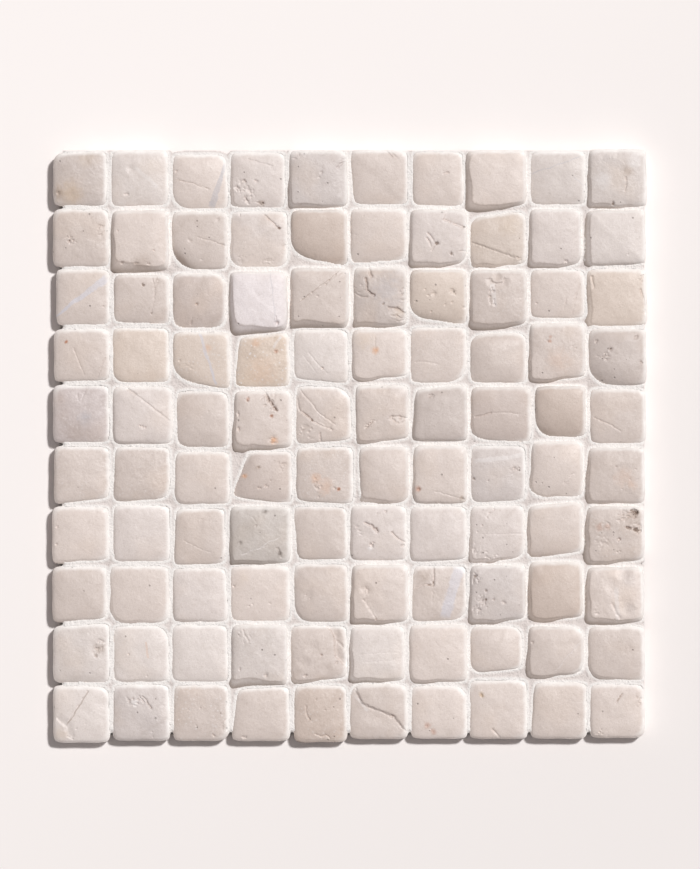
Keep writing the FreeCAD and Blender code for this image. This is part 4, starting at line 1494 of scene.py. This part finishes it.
def stone_points(seat, settings):
    """The points of one dense stone: its face's grid, then its wall's rings down to the back."""
    face = stone_face(seat, settings)
    rim = face[RIM]
    outward = np.stack([np.cos(BEARING[RIM]), np.sin(BEARING[RIM])], axis=1)
    wall = seat.reach_at(BEARING[RIM])
    rings = []
    for level, inward in WALL_RINGS:
        rough = ripple(rim[:, 0] * 0.5 + level, rim[:, 1] * 0.5 - level, seat.number + 31, 2)
        reach = wall - inward - WALL_ROUGHNESS * np.abs(rough)
        ring = seat.middle + outward * reach[:, None]
        rings.append(np.column_stack([ring, np.full(len(ring), level)]))
    return np.concatenate([face, *rings])


def stone_faces():
    """The faces of one dense stone, by the numbers of its points."""
    side = 2 * HALF_GRID + 1
    first = (np.arange(side - 1)[:, None] * side + np.arange(side - 1)[None, :]).ravel()
    strips = [np.stack([first, first + 1, first + side + 1, first + side], axis=1)]
    upper = RIM
    for number in range(len(WALL_RINGS)):
        lower = side * side + number * len(RIM) + np.arange(len(RIM))
        strips.append(np.stack([upper, lower, np.roll(lower, -1), np.roll(upper, -1)], axis=1))
        upper = lower
    return np.concatenate(strips), upper[::-1]


def mesh_from(name, points, quads, ends=()):
    """A mesh of quads, with a many-sided face for each of the ends."""
    made = bpy.data.meshes.new(name)
    corners = np.concatenate([quads.ravel(), *ends])
    sizes = np.array([4] * len(quads) + [len(end) for end in ends])
    starts = np.concatenate([[0], np.cumsum(sizes)[:-1]])
    made.vertices.add(len(points))
    made.vertices.foreach_set("co", (points * MM).ravel())
    made.loops.add(len(corners))
    made.loops.foreach_set("vertex_index", corners.astype(np.int32))
    made.polygons.add(len(starts))
    made.polygons.foreach_set("loop_start", starts.astype(np.int32))
    made.update(calc_edges=True)
    made.validate()
    return made


def with_modifier(mesh, kind, settings):
    """The mesh as a modifier leaves it, as a plain mesh."""
    piece = bpy.data.objects.new(mesh.name, mesh)
    bpy.context.scene.collection.objects.link(piece)
    step = piece.modifiers.new("step", kind)
    for name, value in settings.items():
        if kind == "NODES" and name != "node_group":
            step[name] = value
        else:
            setattr(step, name, value)
    graph = bpy.context.evaluated_depsgraph_get()
    made = bpy.data.meshes.new_from_object(
        piece.evaluated_get(graph), preserve_all_data_layers=True, depsgraph=graph
    )
    bpy.data.objects.remove(piece)
    return made


def put(name, mesh, look, slot, *nodes):
    """A finished piece of the sheet, smooth and in its material, in the place of the frame's nodes."""
    mesh.materials.clear()
    mesh.materials.append(look)
    mesh.shade_smooth()
    piece = bpy.data.objects.new(name, mesh)
    bpy.context.scene.collection.objects.link(piece)
    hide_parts(*nodes)
    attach(piece, "root")
    return piece


def points_of(mesh):
    """A mesh's points, in millimetres."""
    points = np.empty(len(mesh.vertices) * 3)
    mesh.vertices.foreach_get("co", points)
    return points.reshape(-1, 3) / MM


def write_attribute(mesh, name, values):
    """Writes an attribute on the mesh's points: a number, a vector or a colour for each."""
    width = 1 if values.ndim == 1 else values.shape[1]
    kind, field = {1: ("FLOAT", "value"), 3: ("FLOAT_VECTOR", "vector"), 4: ("FLOAT_COLOR", "color")}[width]
    layer = mesh.attributes.new(name, kind, "POINT")
    layer.data.foreach_set(field, np.ascontiguousarray(values, dtype=np.float32).ravel())


def painted_edge_light_and_shade(seat, x, y):
    """How much painted highlight points have on a north or east edge, which faces the light, and how much
    painted shade on a south or west one.
    """
    away, bearing = seat.around(x, y)
    wall = seat.reach_at(bearing)
    band = edge_band(seat, bearing)
    inset = (1 - away / (wall + lean_out(seat, bearing, wall))) * HALF_STONE
    width = band * edge_unevenness(seat, bearing)
    lee = smooth(-np.cos(bearing - math.pi / 4), -LEE, LEE)
    # Painted highlight, fading in from the wall
    highlight = 1 - smooth(inset + 0.3 * waves(x, y, 0.6, seat.number), *HIGHLIGHT_FADE)
    across = inset / width
    # Painted shade across the falling edge, on the side away from the light
    fall = (1 - smooth(across, *SHADE_END)) * (1 - PALED * smooth(across, *PALING))
    arris = ARRIS_SHADE * (1 - smooth(np.abs(inset - width), 0.0, ARRIS_LINE))
    return highlight * (1 - HIGHLIGHT_LOST * lee), np.maximum(fall, arris) * lee * smooth(width, *SHADED)


def owners(points, laid):
    """Which of a row's seats each point belongs to: the one that it lies furthest within."""
    shares = []
    for seat in laid:
        away, bearing = seat.around(points[:, 0], points[:, 1])
        shares.append(away / seat.reach_at(bearing))
    return np.argmin(shares, axis=0)


def dress(mesh, laid):
    """Writes on a row's mesh what its material reads: tones, tints, character, the marks' dirt and painted
    shade, and the edges' painted highlight and shade.
    """
    points = points_of(mesh)
    count = len(points)
    owner = owners(points, laid)
    values = {"tone": np.ones((count, 4)), "character": np.zeros((count, 3))}
    values.update({name: np.zeros(count) for name in ("seed", "worn", "rim", "shaded")})
    values.update({name: np.zeros((count, 3)) for name in VEINS + STAINS})
    values.update({name + "_tint": np.ones((count, 4)) for name in VEINS + STAINS})
    for number, seat in enumerate(laid):
        key = (seat.row, seat.column)
        mine = owner == number
        x, y = points[mine, 0], points[mine, 1]
        values["tone"][mine] = KINDS[seat.row][seat.column - 1]
        values["character"][mine] = (
            MOTTLED.get(key, COMMON_MOTTLING),
            SPECKLED.get(key, COMMON_SPECKLES),
            PORED.get(key, COMMON_PORES),
        )
        values["seed"][mine] = seat.number * SEED_STEP
        # Painted highlight on the lit edges, and painted shade on the shaded ones
        values["rim"][mine], values["shaded"][mine] = painted_edge_light_and_shade(seat, x, y)
        # Dirt in the marks, and painted shade in deep ones and on worn slopes
        values["worn"][mine] = carve(seat, x, y, dirt_and_shade=True)
        tinted = TINTS.get(key, [])
        veins = [mark for mark in tinted if isinstance(mark, Vein)]
        stains = [mark for mark in tinted if isinstance(mark, Stain)]
        for name, mark in [*zip(VEINS, veins), *zip(STAINS, stains)]:
            across, along = mark.place(x - seat.cell[0], y - seat.cell[1])
            values[name][mine] = np.stack([across, along, np.full_like(x, mark.strength)], axis=1)
            values[name + "_tint"][mine] = mark.tint
    for name, layer in values.items():
        write_attribute(mesh, name, layer)


def lay_row(row, settings, look):
    """One row of stones as one piece."""
    laid = [seats()[row, column] for column in range(1, COLUMNS + 1)]
    quads, back = stone_faces()
    points = [stone_points(seat, settings) for seat in laid]
    shifts = [number * len(points[0]) for number in range(len(laid))]
    dense = mesh_from(
        f"row_{row:02d}",
        np.concatenate(points),
        np.concatenate([quads + shift for shift in shifts]),
        [back + shift for shift in shifts],
    )
    mesh = with_modifier(dense, "DECIMATE", {"ratio": settings.detail})
    dress(mesh, laid)
    return put(f"tumbled_stones_row_{row:02d}", mesh, look, "tumbled_stone", STONE_NODES[row - 1])


class MOSAIC_OT_lay_stones(bpy.types.Operator):
    """Lays the tumbled stones, a row at a time"""

    bl_idname = "mosaic.lay_stones"
    bl_label = "Lay stones"

    def execute(self, context):
        SEATS.clear()
        look = stone_material()
        for row in range(1, ROWS + 1):
            lay_row(row, context.scene.stone_settings, look)
        return {"FINISHED"}


# The grout

GROUT_STEP = 0.42  # from one point of the dense grout to the next
GROUT_OUT = 3.2  # how much further than the frame's the grout runs out between the north and east stones
GROUT_UNDER = 1.0  # how far the grout runs in under a stone's tumbled edge
END_SCOOP = 0.8  # how far the end of a joint is hollowed on the west and south sides
FAR_SCOOP = 0.2  # the same on the north and east sides, where the grout is full
HALF_JOINT = 0.8  # from a stone to where such a hollow is deepest
SCOOP_SLACK = 0.3  # how far past its hollowed end a joint may still have grout
RUN_OUT_START = 0.2  # how far past the frame's grout its run-out begins
RUN_OUT_REACH = 1.9  # how far from a stone the run-out may be
CLIMB = (-0.2, 2.6)  # from where to where, out from a stone, the grout falls from its rise
NEAR_END = (1.2, 2.0)  # how far the grout falls at its west and south ends, and over what length
FAR_END = (0.5, 1.2)  # the same at its north and east ends
PAINTED_LIGHT_REACH = (0.2, 1.6)  # how far from a stone the grout is fully paled by painted light, and no longer so
NEAR_SEAT = 0.7 * PITCH  # a seat matters to points that are nearer than this, east or north


def grout_distance(x, y):
    """How far each point is from the nearest stone's wall: below zero inside a stone."""
    away = np.full_like(x, PITCH)
    for seat in seats().values():
        near = (np.abs(x - seat.middle[0]) < NEAR_SEAT) & (np.abs(y - seat.middle[1]) < NEAR_SEAT)
        away[near] = np.minimum(away[near], seat.outside(x[near], y[near]))
    return away


def grout_points(settings, low, high):
    """The grout's dense top: where its points are, and which squares between them belong to it."""
    steps_x = np.arange(low.x / MM, high.x / MM + GROUT_OUT, GROUT_STEP)
    steps_y = np.arange(low.y / MM, high.y / MM + GROUT_OUT, GROUT_STEP)
    x, y = np.meshgrid(steps_x, steps_y)
    away = grout_distance(x, y)
    in_joint = np.clip(1 - (away / HALF_JOINT - 1) ** 2, 0, 1) * (away > 0)
    near_side = np.minimum(x - x.min(), y - y.min()) - END_SCOOP * in_joint
    far_side = np.minimum(x.max() - x, y.max() - y) - FAR_SCOOP * in_joint
    scooped = np.minimum(near_side, far_side)
    past = np.maximum(x, y) > high.x / MM + RUN_OUT_START
    keep = (away > -GROUT_UNDER) & (scooped > -SCOOP_SLACK) & ~(past & (away > RUN_OUT_REACH))
    squares = keep[:-1, :-1] & keep[1:, :-1] & keep[:-1, 1:] & keep[1:, 1:]
    wave = settings.unevenness / MM
    height = high.z / MM + settings.rise / MM * (1 - smooth(away, *CLIMB))
    height += wave * waves(x, y, 0.11, SEED) + 0.5 * wave * waves(x, y, 0.5, SEED + 3)
    height += 0.45 * wave * waves(x, y, 1.3, SEED + 5)
    for side, (drop, over) in ((near_side, NEAR_END), (far_side, FAR_END)):
        height -= drop * (1 - smooth(side, 0, over))
    return x, y, height, squares


def grout_sheet(settings):
    """A closed dense mesh of the grout, with its top waved and drawn up to the stones."""
    low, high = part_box("grout")
    x, y, height, squares = grout_points(settings, low, high)
    rows, columns = np.nonzero(squares)
    corners = [(rows, columns), (rows, columns + 1), (rows + 1, columns + 1), (rows + 1, columns)]
    used = np.zeros(x.shape, bool)
    for corner in corners:
        used[corner] = True
    count = used.sum()
    numbers = np.full(x.shape, -1)
    numbers[used] = np.arange(count)
    top = np.stack([numbers[corner] for corner in corners], axis=1)
    back = top[:, ::-1] + count
    edges = np.concatenate([top[:, [0, 1]], top[:, [1, 2]], top[:, [2, 3]], top[:, [3, 0]]])
    ways = edges[:, 0] * count + edges[:, 1]
    ways_back = edges[:, 1] * count + edges[:, 0]
    border = edges[~np.isin(ways, ways_back)]
    wall = np.stack([border[:, 1], border[:, 0], border[:, 0] + count, border[:, 1] + count], axis=1)
    upper = np.stack([x[used], y[used], height[used]], axis=1)
    lower = np.stack([x[used], y[used], np.full(count, low.z / MM)], axis=1)
    return mesh_from("grout", np.concatenate([upper, lower]), np.concatenate([top, back, wall]))


def node_group(name, inputs):
    """A geometry tree with a geometry output and named inputs, and those inputs' wires."""
    group = bpy.data.node_groups.new(name, "GeometryNodeTree")
    group.interface.new_socket("Geometry", in_out="OUTPUT", socket_type="NodeSocketGeometry")
    identifiers = {}
    for label, kind in inputs.items():
        made = group.interface.new_socket(label, in_out="INPUT", socket_type=kind)
        identifiers[label] = made.identifier
    tree = Tree(group)
    wires = dict(zip(inputs, tree.node("NodeGroupInput", {}, {}, tuple(inputs))))
    return group, tree, wires, identifiers


def end_group(tree, geometry, look):
    """Ends a geometry tree with real faces in their material."""
    real = tree.node("GeometryNodeRealizeInstances", {}, {"Geometry": geometry})
    dressed = tree.node("GeometryNodeSetMaterial", {}, {"Geometry": real, "Material": look})
    tree.node("NodeGroupOutput", {}, {"Geometry": dressed})


UPWARD = 0.7  # sand lies on what faces up at least this far
SMALLEST_GRAIN = 0.4  # the smallest grain, as a share of the largest
GROUT_SHARE = 0.2  # the part of the sheet that shows grout


def sand_group():
    """Sand: grains of random size and turn, strewn on the upper side of the grout."""
    group, tree, wires, identifiers = node_group(
        "sand",
        {
            "Geometry": "NodeSocketGeometry",
            "Density": "NodeSocketFloat",
            "Smallest": "NodeSocketFloat",
            "Largest": "NodeSocketFloat",
            "Seed": "NodeSocketInt",
            "Material": "NodeSocketMaterial",
        },
    )
    _, _, up = tree.parts(tree.node("GeometryNodeInputNormal"))
    points, normal, turn = tree.node(
        "GeometryNodeDistributePointsOnFaces",
        {"distribute_method": "RANDOM"},
        {
            "Mesh": wires["Geometry"],
            "Density": wires["Density"],
            "Seed": wires["Seed"],
            "Selection": up > UPWARD,
        },
        ("Points", "Normal", "Rotation"),
    )
    grain = tree.node("GeometryNodeMeshIcoSphere", {}, {"Radius": 1.0, "Subdivisions": 1})
    size = tree.node(
        "FunctionNodeRandomValue",
        {"data_type": "FLOAT"},
        {"Min": wires["Smallest"], "Max": wires["Largest"], "Seed": wires["Seed"]},
        "Value",
    )
    strewn = tree.node(
        "GeometryNodeInstanceOnPoints",
        {},
        {"Points": points, "Instance": grain, "Rotation": turn, "Scale": size},
    )
    joined = tree.node("GeometryNodeJoinGeometry", {}, {"Geometry": [strewn, wires["Geometry"]]})
    end_group(tree, joined, wires["Material"])
    return group, identifiers


def near_stone(mesh):
    """How near each point of the grout is to a stone, where it is painted paler as painted light."""
    points = points_of(mesh)
    return 1 - smooth(grout_distance(points[:, 0], points[:, 1]), *PAINTED_LIGHT_REACH)


class MOSAIC_OT_spread_grout(bpy.types.Operator):
    """Spreads the sandy grout between the stones"""

    bl_idname = "mosaic.spread_grout"
    bl_label = "Spread grout"

    def execute(self, context):
        settings = context.scene.grout_settings
        look = grout_material(settings.colour)
        mesh = with_modifier(grout_sheet(settings), "DECIMATE", {"ratio": settings.detail})
        write_attribute(mesh, "near_stone", near_stone(mesh))
        low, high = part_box("grout")
        joints = GROUT_SHARE * (high.x - low.x) * (high.y - low.y)
        group, names = sand_group()
        mesh = with_modifier(
            mesh,
            "NODES",
            {
                "node_group": group,
                names["Density"]: settings.grain_count / joints,
                names["Smallest"]: settings.grain_size * SMALLEST_GRAIN,
                names["Largest"]: settings.grain_size,
                names["Seed"]: SEED,
                names["Material"]: look,
            },
        )
        put("sandy_grout", mesh, look, "grout", "grout")
        return {"FINISHED"}


# The backing mesh

MESH_MIDDLE = 0.25  # height of the middle of the mesh


def weave_group():
    """One set of a woven mesh's yarns: each rises and dips over the other set's, turn about."""
    group, tree, wires, identifiers = node_group(
        "woven_yarns",
        {
            "Length": "NodeSocketFloat",
            "Yarns": "NodeSocketInt",
            "Spacing": "NodeSocketFloat",
            "Width": "NodeSocketFloat",
            "Thickness": "NodeSocketFloat",
            "Wave": "NodeSocketFloat",
            "Height": "NodeSocketFloat",
            "Turn": "NodeSocketFloat",
            "Material": "NodeSocketMaterial",
        },
    )

    def vector(x=0.0, y=0.0, z=0.0):
        return tree.node("ShaderNodeCombineXYZ", {}, {"X": x, "Y": y, "Z": z})

    index = tree.node("GeometryNodeInputIndex")
    half = wires["Length"] * 0.5
    ends = {"Start": vector(half * -1.0), "End": vector(half)}
    line = tree.node("GeometryNodeCurvePrimitiveLine", {}, ends)
    bends = wires["Yarns"] * 2.0 - 1.0
    line = tree.node("GeometryNodeResampleCurve", {}, {"Curve": line, "Count": bends})
    lift = tree.math("COSINE", index * (math.pi / 2), 0.0) * wires["Wave"]
    line = tree.node("GeometryNodeSetPosition", {}, {"Geometry": line, "Offset": vector(z=lift)})
    line = tree.node("GeometryNodeSetCurveNormal", {"mode": "Z_UP"}, {"Curve": line})
    section = tree.node(
        "GeometryNodeCurvePrimitiveQuadrilateral",
        {},
        {"Width": wires["Width"], "Height": wires["Thickness"]},
    )
    yarn = tree.node(
        "GeometryNodeCurveToMesh", {}, {"Curve": line, "Profile Curve": section, "Fill Caps": True}
    )
    first = (wires["Yarns"] - 1.0) * wires["Spacing"] * -0.5
    places = tree.node(
        "GeometryNodeMeshLine",
        {},
        {"Count": wires["Yarns"], "Start Location": vector(y=first), "Offset": vector(y=wires["Spacing"])},
    )
    flip = (index % 2.0) * math.pi
    rotation = tree.node("FunctionNodeEulerToRotation", {}, {"Euler": vector(x=flip)})
    laid = tree.node(
        "GeometryNodeInstanceOnPoints", {}, {"Points": places, "Instance": yarn, "Rotation": rotation}
    )
    quarter = tree.node("FunctionNodeEulerToRotation", {}, {"Euler": vector(z=wires["Turn"])})
    placed = tree.node(
        "GeometryNodeTransform",
        {},
        {"Geometry": laid, "Translation": vector(z=wires["Height"]), "Rotation": quarter},
    )
    end_group(tree, placed, wires["Material"])
    return group, identifiers


class MOSAIC_OT_weave_mesh(bpy.types.Operator):
    """Weaves the glass-yarn mesh on the back of the sheet"""

    bl_idname = "mosaic.weave_mesh"
    bl_label = "Weave mesh"

    def execute(self, context):
        settings = context.scene.mesh_settings
        look = yarn_material(settings.colour)
        group, names = weave_group()
        for node, wave, turn in (("mesh_weft_yarns", 1, 0.0), ("mesh_warp_yarns", -1, math.pi / 2)):
            low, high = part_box(node)
            span = high.x - low.x
            mesh = with_modifier(
                bpy.data.meshes.new(node),
                "NODES",
                {
                    "node_group": group,
                    names["Length"]: span,
                    names["Yarns"]: settings.yarns,
                    names["Spacing"]: (span - settings.yarn_width) / (settings.yarns - 1),
                    names["Width"]: settings.yarn_width,
                    names["Thickness"]: settings.yarn_thickness,
                    names["Wave"]: wave * (high.z - low.z) / 2,
                    names["Height"]: MESH_MIDDLE * MM,
                    names["Turn"]: turn,
                    names["Material"]: look,
                },
            )
            put("woven_" + node.removeprefix("mesh_"), mesh, look, "mesh_yarn", node)
        return {"FINISHED"}


# The stage

# Lengths of the stage, in metres but for the lens and its sensor
LENS = 300.0
SENSOR = 36.0
FLOOR_SIZE = 6.0
PHOTO_HIGH = 0.4374  # height of the photo's frame, on the sheet
CAMERA_EAST = 0.00025
CAMERA_NORTH = 0.0055
SUN_STRENGTH = 2.76
SUN_SPREAD = math.radians(6.5)
SKY_STRENGTH = 0.235
SKY_TINT = (1.0, 0.955, 0.975, 1.0)


def lay_floor(settings):
    """A floor that reaches past every edge of the picture."""
    bpy.ops.mesh.primitive_plane_add(size=FLOOR_SIZE, location=(0, 0, 0))
    floor = bpy.context.object
    floor.name = "floor"
    floor.data.materials.append(floor_material(settings.floor))


def hang_sun(scene, settings):
    """A slightly soft sun."""
    sun = bpy.data.objects.new("sun", bpy.data.lights.new("sun", "SUN"))
    sun.data.energy = SUN_STRENGTH
    sun.data.angle = SUN_SPREAD
    up, bearing = settings.sun_height, settings.sun_bearing
    to_sun = Vector((math.cos(up) * math.sin(bearing), math.cos(up) * math.cos(bearing), math.sin(up)))
    sun.rotation_euler = to_sun.to_track_quat("Z", "Y").to_euler()
    scene.collection.objects.link(sun)


def fill_sky(scene):
    """An even, faint light from all round."""
    sky = bpy.data.worlds.new("sky")
    sky.use_nodes = True
    sky.node_tree.nodes.clear()
    tree = Tree(sky.node_tree)
    shade = tree.node("ShaderNodeBackground", {}, {"Color": SKY_TINT, "Strength": SKY_STRENGTH})
    tree.node("ShaderNodeOutputWorld", {}, {"Surface": shade})
    scene.world = sky


def set_camera(scene):
    """A long lens straight above the sheet, as far off as the photo's frame asks."""
    lens = bpy.data.cameras.new("camera")
    lens.lens = LENS
    lens.sensor_width = SENSOR
    camera = bpy.data.objects.new("camera", lens)
    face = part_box("grout")[1].z
    camera.location = (CAMERA_EAST, CAMERA_NORTH, face + PHOTO_HIGH * LENS / SENSOR)
    scene.collection.objects.link(camera)
    scene.camera = camera


class MOSAIC_OT_set_stage(bpy.types.Operator):
    """Lays the pale floor, and sets the light and the camera"""

    bl_idname = "mosaic.set_stage"
    bl_label = "Set stage"

    def execute(self, context):
        scene = context.scene
        lay_floor(scene.stage_settings)
        hang_sun(scene, scene.stage_settings)
        fill_sky(scene)
        set_camera(scene)
        scene.view_settings.view_transform = "Standard"
        return {"FINISHED"}


STEPS = (MOSAIC_OT_set_stage, MOSAIC_OT_lay_stones, MOSAIC_OT_spread_grout, MOSAIC_OT_weave_mesh)
SETTINGS = {
    "stage_settings": StageSettings,
    "stone_settings": StoneSettings,
    "grout_settings": GroutSettings,
    "mesh_settings": MeshSettings,
}


class MOSAIC_PT_sheet(bpy.types.Panel):
    """The steps that make the sheet, each with its sizes and colours"""

    bl_idname = "MOSAIC_PT_sheet"
    bl_label = "Mosaic sheet"
    bl_space_type = "VIEW_3D"
    bl_region_type = "UI"
    bl_category = "Mosaic"

    def draw(self, context):
        for step, name in zip(STEPS, SETTINGS):
            box = self.layout.box()
            box.operator(step.bl_idname)
            settings = getattr(context.scene, name)
            for field in SETTINGS[name].__annotations__:
                box.prop(settings, field)


def register():
    for made in (*SETTINGS.values(), *STEPS, MOSAIC_PT_sheet):
        bpy.utils.register_class(made)
    for name, made in SETTINGS.items():
        setattr(bpy.types.Scene, name, bpy.props.PointerProperty(type=made))


def unregister():
    for name in SETTINGS:
        delattr(bpy.types.Scene, name)
    for made in (MOSAIC_PT_sheet, *reversed(STEPS), *SETTINGS.values()):
        bpy.utils.unregister_class(made)


def main():
    register()
    bpy.ops.mosaic.set_stage()
    bpy.ops.mosaic.lay_stones()
    bpy.ops.mosaic.spread_grout()
    bpy.ops.mosaic.weave_mesh()


if __name__ == "__main__":
    main()
